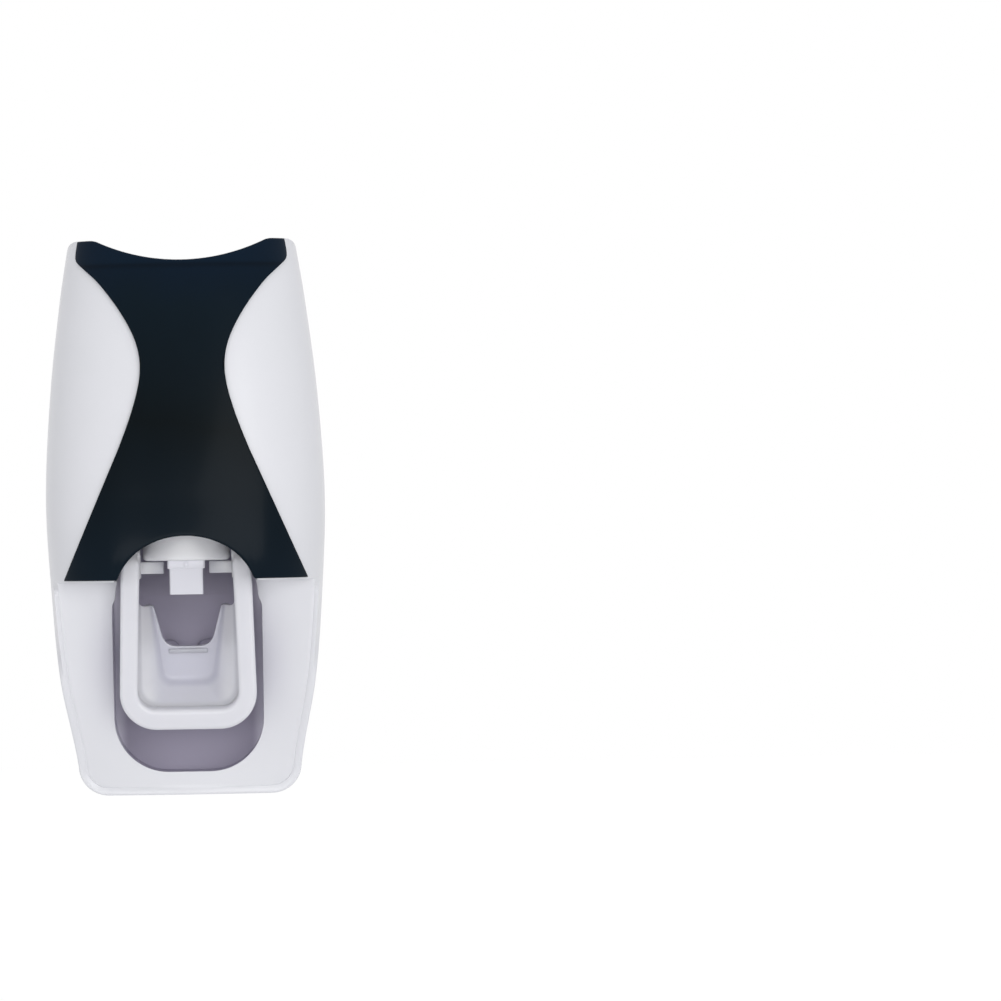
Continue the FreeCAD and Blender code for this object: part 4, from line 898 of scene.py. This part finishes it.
def cutLine():
    # right half of the cut-out from its mouth to the middle of its foot, with rounded corners
    points = []
    corners = [(Vector((x, z)), setback) for x, z, setback in lever["cut"]]
    for k, (here, setback) in enumerate(corners):
        if not setback:
            points.append(tuple(here))
            continue
        before, after = [here + (corners[n][0] - here).normalized() * setback for n in (k - 1, k + 1)]
        for step in range(lever["cutSteps"] + 1):
            points.append(tuple(bent(before, here, after, step / lever["cutSteps"])))
    return points


def troughForm():
    steps = outlineSteps(lever)
    line = cutLine()
    split = next(k for k in range(len(line) - 1) if line[k + 1][1] < lever["cutSplit"])
    tail = line[split:]
    lengths = [0.0]
    for a, b in zip(tail, tail[1:]):
        lengths.append(lengths[-1] + math.hypot(b[0] - a[0], b[1] - a[1]))
    floorAt = [leverOutline(lever["floor"], run) for run in steps]
    firstTail = next(k for k, (x, z) in enumerate(floorAt) if z < tail[0][1])

    def cutPoint(row):
        # level with the floor's line at first, and then evenly along the tail
        z = floorAt[row][1]
        if row < firstTail:
            for a, b in zip(line, line[1:]):
                if b[1] <= z <= a[1]:
                    return a[0] + (b[0] - a[0]) * (a[1] - z) / max(a[1] - b[1], nearly), z
        along = (row - firstTail) / (len(steps) - 1 - firstTail) * lengths[-1]
        for a, b, start, end in zip(tail, tail[1:], lengths, lengths[1:]):
            if along <= end + nearly:
                t = (along - start) / (end - start)
                return a[0] + t * (b[0] - a[0]), a[1] + t * (b[1] - a[1])
        return tail[-1]

    def form(i, j):
        side, row = mirrored(j, steps)
        ax, az = leverOutline(lever["throat"], steps[row])
        bx, bz = floorAt[row]
        cx, cz = cutPoint(row)
        start = Vector((ax, lever["throatDepth"], az))
        bend = Vector((bx, lever["floorDepth"], bz))
        end = Vector((cx, lever["floorDepth"], cz))
        if row < firstTail and cx > bx:      # the cut-out takes the rear of the wall here
            bend = start.lerp(bend, min(max((ax - cx) / (ax - bx), 0.0), 1.0))
            end = bend
        near = start.lerp(bend, 1 - lever["foldShare"])
        long = (end - bend).length
        reach = min(lever["foldEnd"] / max(long, lever["foldEnd"]), 0.5)
        far = bend.lerp(end, reach) if long > lever["shortest"] else bend
        if i <= lever["slope"]:
            spot = start.lerp(near, i / lever["slope"])
        elif i <= lever["slope"] + lever["fold"]:
            spot = bent(near, bend, far, (i - lever["slope"]) / lever["fold"])
        else:
            spot = far.lerp(end, (i - lever["slope"] - lever["fold"]) / lever["strip"])
        return leaned(side * spot.x, spot.y, spot.z)

    return lever["slope"] + lever["fold"] + lever["strip"] + 1, len(steps) * 2 - 1, form


def addArm(bm, side):
    # the boss on the pin, the arm to the rear and the tab under the foot of the slide
    pivot = (side * arm["bossMiddle"], -lever["pivotDepth"], lever["pivotHeight"])
    addRod(bm, arm["bossRadius"], arm["bossLength"], pivot, arm["bossRound"])
    low, high = sorted((side * arm["inner"], side * arm["outer"]))
    addBlock(bm, (low, -lever["pivotDepth"], arm["foot"]), (high, -arm["rear"], arm["top"]), arm["round"])
    low, high = sorted((side * arm["tabInner"], side * arm["outer"]))
    depth, height, radius = arm["tabDepth"], arm["tabHeight"], arm["tabRadius"]
    addRod(bm, radius, high - low, ((low + high) / 2, -depth, height), arm["tabEndRound"], steps=32)
    addBlock(bm, (low, -depth - arm["tabLong"], height - radius), (high, -depth, height + radius),
             arm["tabRound"])


def makeLever():
    bm = gridMesh(*ringForm())
    bmesh.ops.remove_doubles(bm, verts=bm.verts, dist=merge["fine"])
    bmesh.ops.holes_fill(bm, edges=bm.edges, sides=0)
    fixNormals(bm)
    sheet = gridMesh(*troughForm())
    closeSeams(sheet, merge["seam"])
    faceFront(sheet)
    bmesh.ops.solidify(sheet, geom=sheet.faces[:], thickness=lever["wall"] / perMetre)
    fixNormals(sheet)
    bevelSharp(sheet, lever["wallRound"], angle=55.0)
    addTo(bm, sheet)
    lip = bmesh.new()
    addBlock(lip, *lever["lip"], lever["lipRound"], segments=4)
    for vert in lip.verts:
        x, y, z = vert.co * perMetre
        vert.co = toFrame(*leaned(x, -y, z + benchHeight))
    addTo(bm, lip)
    for side in (1, -1):
        addArm(bm, side)
    makePiece("leverFrame", bm, "clear_white_plastic", "lever", "lever_frame", sharpAngle=38.0,
              finish="lever")


makeLever()
print("lever made")


# Soft pieces of the pump, and the spring

# the lines are radius and height; the bumper's is radius and depth
soft = {"axis": 34.0, "outletAxis": 38.2,
        "socket": [(4.6, 81.7), (9.12, 81.7), (9.12, 92.2), (11.2, 92.2), (11.2, 94.4), (7.1, 94.4),
                   (6.2, 93.5), (6.2, 90.2), (6.5, 89.6), (6.2, 89.0), (6.2, 87.6), (6.5, 87.0), (6.2, 86.4),
                   (6.2, 85.7), (4.6, 85.7)],
        "flap": [(0.0, 72.42), (2.2, 72.5), (4.2, 72.77), (4.2, 73.12), (0.92, 73.12), (0.92, 74.88),
                 (1.5, 74.88), (0.92, 76.08), (0.0, 76.08)],
        "outlet": [(0.82, 53.1), (0.9, 53.1), (1.75, 57.3), (1.75, 61.3), (3.2, 61.3), (3.2, 62.0),
                   (0.9, 62.0), (0.9, 57.3)],
        "bumper": [(0.0, 13.0), (3.0, 13.0), (3.0, 13.9), (2.4, 14.45), (1.2, 14.6), (0.0, 14.6)],
        "bumperSide": 5.0, "bumperHeight": 36.0}
bellows = {"foot": 61.6, "neck": 73.2, "top": 76.2, "folds": 3, "crest": 8.9, "valley": 7.3, "thick": 0.9,
           "stem": 6.08, "neckThick": 1.35, "round": 0.3, "keep": 0.734}
spring = {"radius": 10.2, "wire": 0.4, "foot": 70.48, "top": 78.72, "turns": 5, "steps": 40, "keep": 0.571}
tape = {"low": (-20.0, -1.0, 73.0), "high": (20.0, 0.0, 123.0), "corner": 3.0, "round": 0.12}
pumpAxis = (0.0, -soft["axis"], 0.0)


def bellowsLine():
    # straight runs of the folds; the crests and valleys are rounded after turning
    foot, neck, top, stem = [bellows[name] for name in ("foot", "neck", "top", "stem")]
    outside = [(bellows["crest"], foot)]
    pitch = (neck - foot) / bellows["folds"]
    for k in range(bellows["folds"]):
        outside.append((bellows["valley"], foot + pitch * (k + 0.5)))
        if k < bellows["folds"] - 1:
            outside.append((bellows["crest"], foot + pitch * (k + 1)))
    inside = [(r - bellows["thick"], z) for r, z in outside]
    return (outside + [(stem + bellows["neckThick"], neck), (stem + bellows["thick"], top), (stem, top),
                       (stem, neck)] + inside[::-1])


def squashWithPump(piece, height):
    # the piece gets a mesh of its own; the place at the height where it is held is worked out but not used
    toFrame(0, -soft["axis"], height)
    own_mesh(piece)


def makeTurned(name, line, middle, body, node, **more):
    bm = bmesh.new()
    addTurned(bm, line, middle, **more)
    return makePiece(name, bm, "silicone", body, node)


def makeSoftPieces():
    makeTurned("tubeGrip", soft["socket"], pumpAxis, "housing", "tube_socket", width=0.2)
    makeTurned("inletFlap", soft["flap"], pumpAxis, "housing", "inlet_valve", width=0.08, steps=48)
    makeTurned("outletLips", soft["outlet"], (0, -soft["outletAxis"], 0), "slide", "outlet_valve",
               width=0.06, steps=40)
    sleeve = makeTurned("pumpSleeve", bellowsLine(), pumpAxis, "housing", "pump_bellows",
                        width=bellows["round"])
    squashWithPump(sleeve, bellows["top"])
    bm = bmesh.new()
    for side in (1, -1):
        middle = (side * soft["bumperSide"], 0, soft["bumperHeight"])
        addTurned(bm, soft["bumper"], middle, width=0.25, along="Y", steps=40)
    makePiece("stopBumpers", bm, "silicone", "housing", "lever_bumpers", finish="bumper")
    bm = bmesh.new()
    addBlock(bm, tape["low"], tape["high"], tape["round"], corner=tape["corner"])
    makePiece("tapePad", bm, "foam_tape", "wall_bracket", "adhesive_pad")


def makeSpring():
    bm = bmesh.new()
    bmesh.ops.create_circle(bm, cap_ends=False, segments=14, radius=spring["wire"] / perMetre)
    putAt(bm, (spring["radius"], -soft["axis"], spring["foot"]), "Y")
    count = spring["turns"] * spring["steps"]
    rise = (spring["top"] - spring["foot"]) / count / perMetre
    bmesh.ops.spin(bm, geom=bm.verts[:] + bm.edges[:], cent=toFrame(*pumpAxis), axis=(0, 0, 1),
                   dvec=(0, 0, rise), angle=2 * math.pi * spring["turns"], steps=count)
    bmesh.ops.holes_fill(bm, edges=bm.edges, sides=0)
    fixNormals(bm)
    coil = makePiece("returnCoil", bm, "steel", "housing", "return_spring")
    squashWithPump(coil, spring["top"] + spring["wire"])


makeSoftPieces()
makeSpring()
print("soft pieces and spring made")


# Screws with a cross recess, and the pins of the lever

screw = {"head": 2.5, "headEdge": 0.8, "crown": 1.6, "flat": 1.7, "slant": (2.2, 0.2), "shank": 1.2,
         "core": 0.95, "length": 9.0, "tip": 0.4, "pitch": 0.7, "plain": 0.8, "slot": 0.32, "reach": 1.3,
         "sink": 0.8, "steps": 36, "near": 1e-5, "cutNear": 1e-8}
seats = {"cover": 4.0, "coverAt": ((23.6, 13.5), (28.6, 98.0)),
         "lug": 69.0, "lugAt": (27.0, 28.0), "flange": 81.7, "flangeAt": (18.5, soft["axis"])}
pin = {"radius": 1.4, "head": 2.4, "inner": 11.37, "seat": 19.65, "end": 20.15, "chamfer": 0.25,
       "headChamfer": (0.3, 0.15), "steps": 40}


def screwLine(seat, out):
    # radius and height from the crown of the head to the tip; out is 1 where the head lies above its seat
    crown, (slantRadius, slantDrop) = screw["crown"], screw["slant"]
    line = [(0.0, crown), (screw["flat"], crown), (slantRadius, crown - slantDrop),
            (screw["head"], screw["headEdge"]), (screw["head"], 0.0), (screw["shank"], 0.0)]
    reach = screw["plain"]
    while reach + screw["pitch"] < screw["length"] - screw["tip"]:
        line += [(screw["core"], -reach), (screw["shank"], -reach - screw["pitch"] * 0.5)]
        reach += screw["pitch"]
    line += [(screw["core"], -reach), (0.0, -screw["length"])]
    return [(radius, seat + out * height) for radius, height in line]


def addScrew(target, seat, out, along, x, other):
    # along Y, other is the height of the screw; along Z it is its depth
    bm = bmesh.new()
    top = seat + out * screw["crown"]
    if along == "Y":
        middle, crown = (x, 0, other), toFrame(x, -top, other)
        axis, ways = Vector((0, -out, 0)), (Vector((1, 0, 0)), Vector((0, 0, 1)))
    else:
        middle, crown = (x, -other, 0), toFrame(x, -other, top)
        axis, ways = Vector((0, 0, out)), (Vector((1, 0, 0)), Vector((0, 1, 0)))
    addTurned(bm, screwLine(seat, out), middle, along=along, steps=screw["steps"])

    def crownFaces():
        return [f for f in bm.faces if all(abs((v.co - crown).dot(axis)) < screw["near"] for v in f.verts)]

    bmesh.ops.dissolve_faces(bm, faces=crownFaces())
    for way in ways:
        for offset in (-screw["reach"], -screw["slot"], screw["slot"], screw["reach"]):
            faces = crownFaces()
            verts, edges = [{part for f in faces for part in getattr(f, kind)} for kind in ("verts", "edges")]
            bmesh.ops.bisect_plane(bm, geom=[*verts, *edges, *faces], dist=screw["cutNear"],
                                   plane_co=crown + way * (offset / perMetre), plane_no=way)
    cross = []
    for face in crownFaces():
        a, b = [abs((face.calc_center_median() - crown).dot(way)) * perMetre for way in ways]
        if min(a, b) < screw["slot"] and max(a, b) < screw["reach"]:
            cross.append(face)
    grown = bmesh.ops.extrude_face_region(bm, geom=cross)["geom"]
    bmesh.ops.delete(bm, geom=[f for f in cross if f.is_valid], context="FACES")
    sunk = [g for g in grown if isinstance(g, bmesh.types.BMVert)]
    bmesh.ops.translate(bm, verts=sunk, vec=axis * (-screw["sink"] / perMetre))
    fixNormals(bm)
    addTo(target, bm)


def makeFasteners():
    bm = bmesh.new()
    for side in (1, -1):
        for half, height in seats["coverAt"]:
            addScrew(bm, seats["cover"], -1, "Y", side * half, height)
    makePiece("coverScrews", bm, "steel", "housing", "cover_screws")
    bm = bmesh.new()
    for side in (1, -1):
        for seat in ("lug", "flange"):
            half, depth = seats[seat + "At"]
            addScrew(bm, seats[seat], 1, "Z", side * half, depth)
    makePiece("pumpScrews", bm, "steel", "housing", "pump_screws")
    bm = bmesh.new()
    radius, head, inner, end, cut = [pin[name] for name in ("radius", "head", "inner", "end", "chamfer")]
    line = [(0.0, inner), (radius - cut, inner), (radius, inner + cut), (radius, pin["seat"]),
            (head, pin["seat"]), (head, end - pin["headChamfer"][1]), (head - pin["headChamfer"][0], end),
            (0.0, end)]
    pivot = (0, -lever["pivotDepth"], lever["pivotHeight"])
    for side in (1, -1):
        sided = [(r, side * reach) for r, reach in line]
        addTurned(bm, sided, pivot, along="X", steps=pin["steps"])
    makePiece("hingePins", bm, "steel", "housing", "hinge_pins")


makeFasteners()
print("screws and pins made")


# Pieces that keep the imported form, merged and with their edges rounded

packedForm = {"flat": 0.6, "bevelAngle": 28.0, "sharpAngle": 40.0}

# node, piece, material slot, body, width of the rounding, and the finish where it isn't the slot's own
packedPieces = [
    ("pump_slide", "pumpSlide", "clear_white_plastic", "slide", 0.3),
    ("nozzle", "nozzleSpout", "clear_white_plastic", "slide", 0.12, "spout"),
    ("recess_liner", "recessLiner", "grey_liner", "housing", 0.25),
    ("pump_bracket", "pumpBracket", "inner_plastic", "housing", 0.2),
    ("wall_plate", "wallPlate", "white_plastic", "wall_bracket", 0.3, "cover"),
    ("back_cover", "backCover", "white_plastic", "housing", 0.3, "cover"),
    ("socket_collar", "socketCollar", "inner_plastic", "housing", 0.25),
    ("pump_head", "pumpHead", "inner_plastic", "housing", 0.2),
    ("tube_guide", "tubeGuide", "inner_plastic", "housing", 0.25),
]


def refined(node, name, slotName, body, width, finish=None):
    bm = bmesh.new()
    bm.from_mesh(frame["nodes"][node].data)
    bmesh.ops.remove_doubles(bm, verts=bm.verts, dist=merge["packed"])
    bmesh.ops.dissolve_limit(bm, angle_limit=math.radians(packedForm["flat"]), verts=bm.verts, edges=bm.edges,
                             delimit={"NORMAL"})
    bevelSharp(bm, width, packedForm["bevelAngle"])
    makePiece(name, bm, slotName, body, node, packedForm["sharpAngle"], finish)


for entry in packedPieces:
    refined(*entry)
print("inner pieces refined")


# Floor, lights and camera

# the drop is millimetres; the sizes and the lamps' places are metres in the frame
studio = {"floorDrop": 120.0, "floorSize": 6.0, "floorShown": 0.9, "floorGlow": 1.05, "floorClouds": 30.0,
          "world": 0.65, "worldTint": (0.97, 0.975, 1.0, 1), "glossyShare": 0.9, "lampSize": 1.6,
          "key": 17.0, "keyPlace": (0.7, -1.8, 0.0), "fill": 18.0, "fillPlace": (-0.55, -1.7, -0.5)}


def makeFloor():
    bm = bmesh.new()
    bmesh.ops.create_grid(bm, x_segments=4, y_segments=4, size=studio["floorSize"] / 2)
    putAt(bm, (0, 0, -studio["floorDrop"]))
    floor = addObject("paleFloor", asMesh("paleFloor", bm))
    made = Finish("paleFloor", Roughness=0.9, Specular_IOR_Level=0.0)
    made.feed("Base Color", made.mix(made.noise(studio["floorClouds"]), "F4F4F6", "F7F7F8"))
    seen = made.path("Is Camera Ray") + made.path("Is Glossy Ray") + made.path("Is Transmission Ray")
    glow = made.node("ShaderNodeEmission", "Emission", Color=(1, 1, 1, 1), Strength=studio["floorGlow"])
    shown = made.node("ShaderNodeMixShader", n0=seen * studio["floorShown"],
                      n1=Wire(made.tree, made.shader.outputs[0]), n2=glow)
    made.tree.links.new(shown.socket, made.tree.nodes["Material Output"].inputs["Surface"])
    floor.data.materials.append(made.material)


def makeLamp(name, power, place):
    # a round lamp that points at the frame's origin
    lamp = bpy.data.lights.new(name, "AREA")
    lamp.shape = "DISK"
    lamp.size = studio["lampSize"]
    lamp.energy = power
    holder = addObject(name, lamp)
    holder.location = place
    holder.rotation_mode = "QUATERNION"
    holder.rotation_quaternion = (-Vector(place)).to_track_quat("-Z", "Y")


def makeWorld():
    world = bpy.data.worlds.new("studioWorld")
    bpy.context.scene.world = world
    world.use_nodes = True
    made = NodeMaker(world.node_tree)
    seen = (made.path("Is Camera Ray") + made.path("Is Glossy Ray") * studio["glossyShare"]
            + made.path("Is Transmission Ray"))
    plain = made.node("ShaderNodeBackground", Color=studio["worldTint"], Strength=studio["world"])
    white = made.node("ShaderNodeBackground", Color=(1, 1, 1, 1), Strength=1.0)
    mixed = made.node("ShaderNodeMixShader", n0=seen, n1=plain, n2=white)
    made.tree.links.new(mixed.socket, made.tree.nodes["World Output"].inputs["Surface"])


camera = {"x": 20.0, "y": -1630.0, "height": 74.0, "lens": 227.8, "sensor": 36.0, "roll": -0.986,
          "shift": 0.2355, "nearest": 0.05, "furthest": 50.0}


def makeCamera():
    lens = bpy.data.cameras.new("frontCamera")
    lens.lens = camera["lens"]
    lens.sensor_width = camera["sensor"]
    lens.shift_x = camera["shift"]      # the object stands at the left of the frame
    lens.clip_start = camera["nearest"]
    lens.clip_end = camera["furthest"]
    holder = addObject("frontCamera", lens)
    turn = Matrix.Rotation(quarterTurn, 4, "X") @ Matrix.Rotation(math.radians(camera["roll"]), 4, "Z")
    spot = toFrame(camera["x"], camera["y"], camera["height"])
    holder.matrix_world = Matrix.Translation(spot) @ turn
    bpy.context.scene.camera = holder


makeFloor()
makeLamp("keyLamp", studio["key"], studio["keyPlace"])
makeLamp("fillLamp", studio["fill"], studio["fillPlace"])
makeWorld()
makeCamera()
bpy.context.scene.view_settings.view_transform = "Standard"
print("floor, light and camera made")
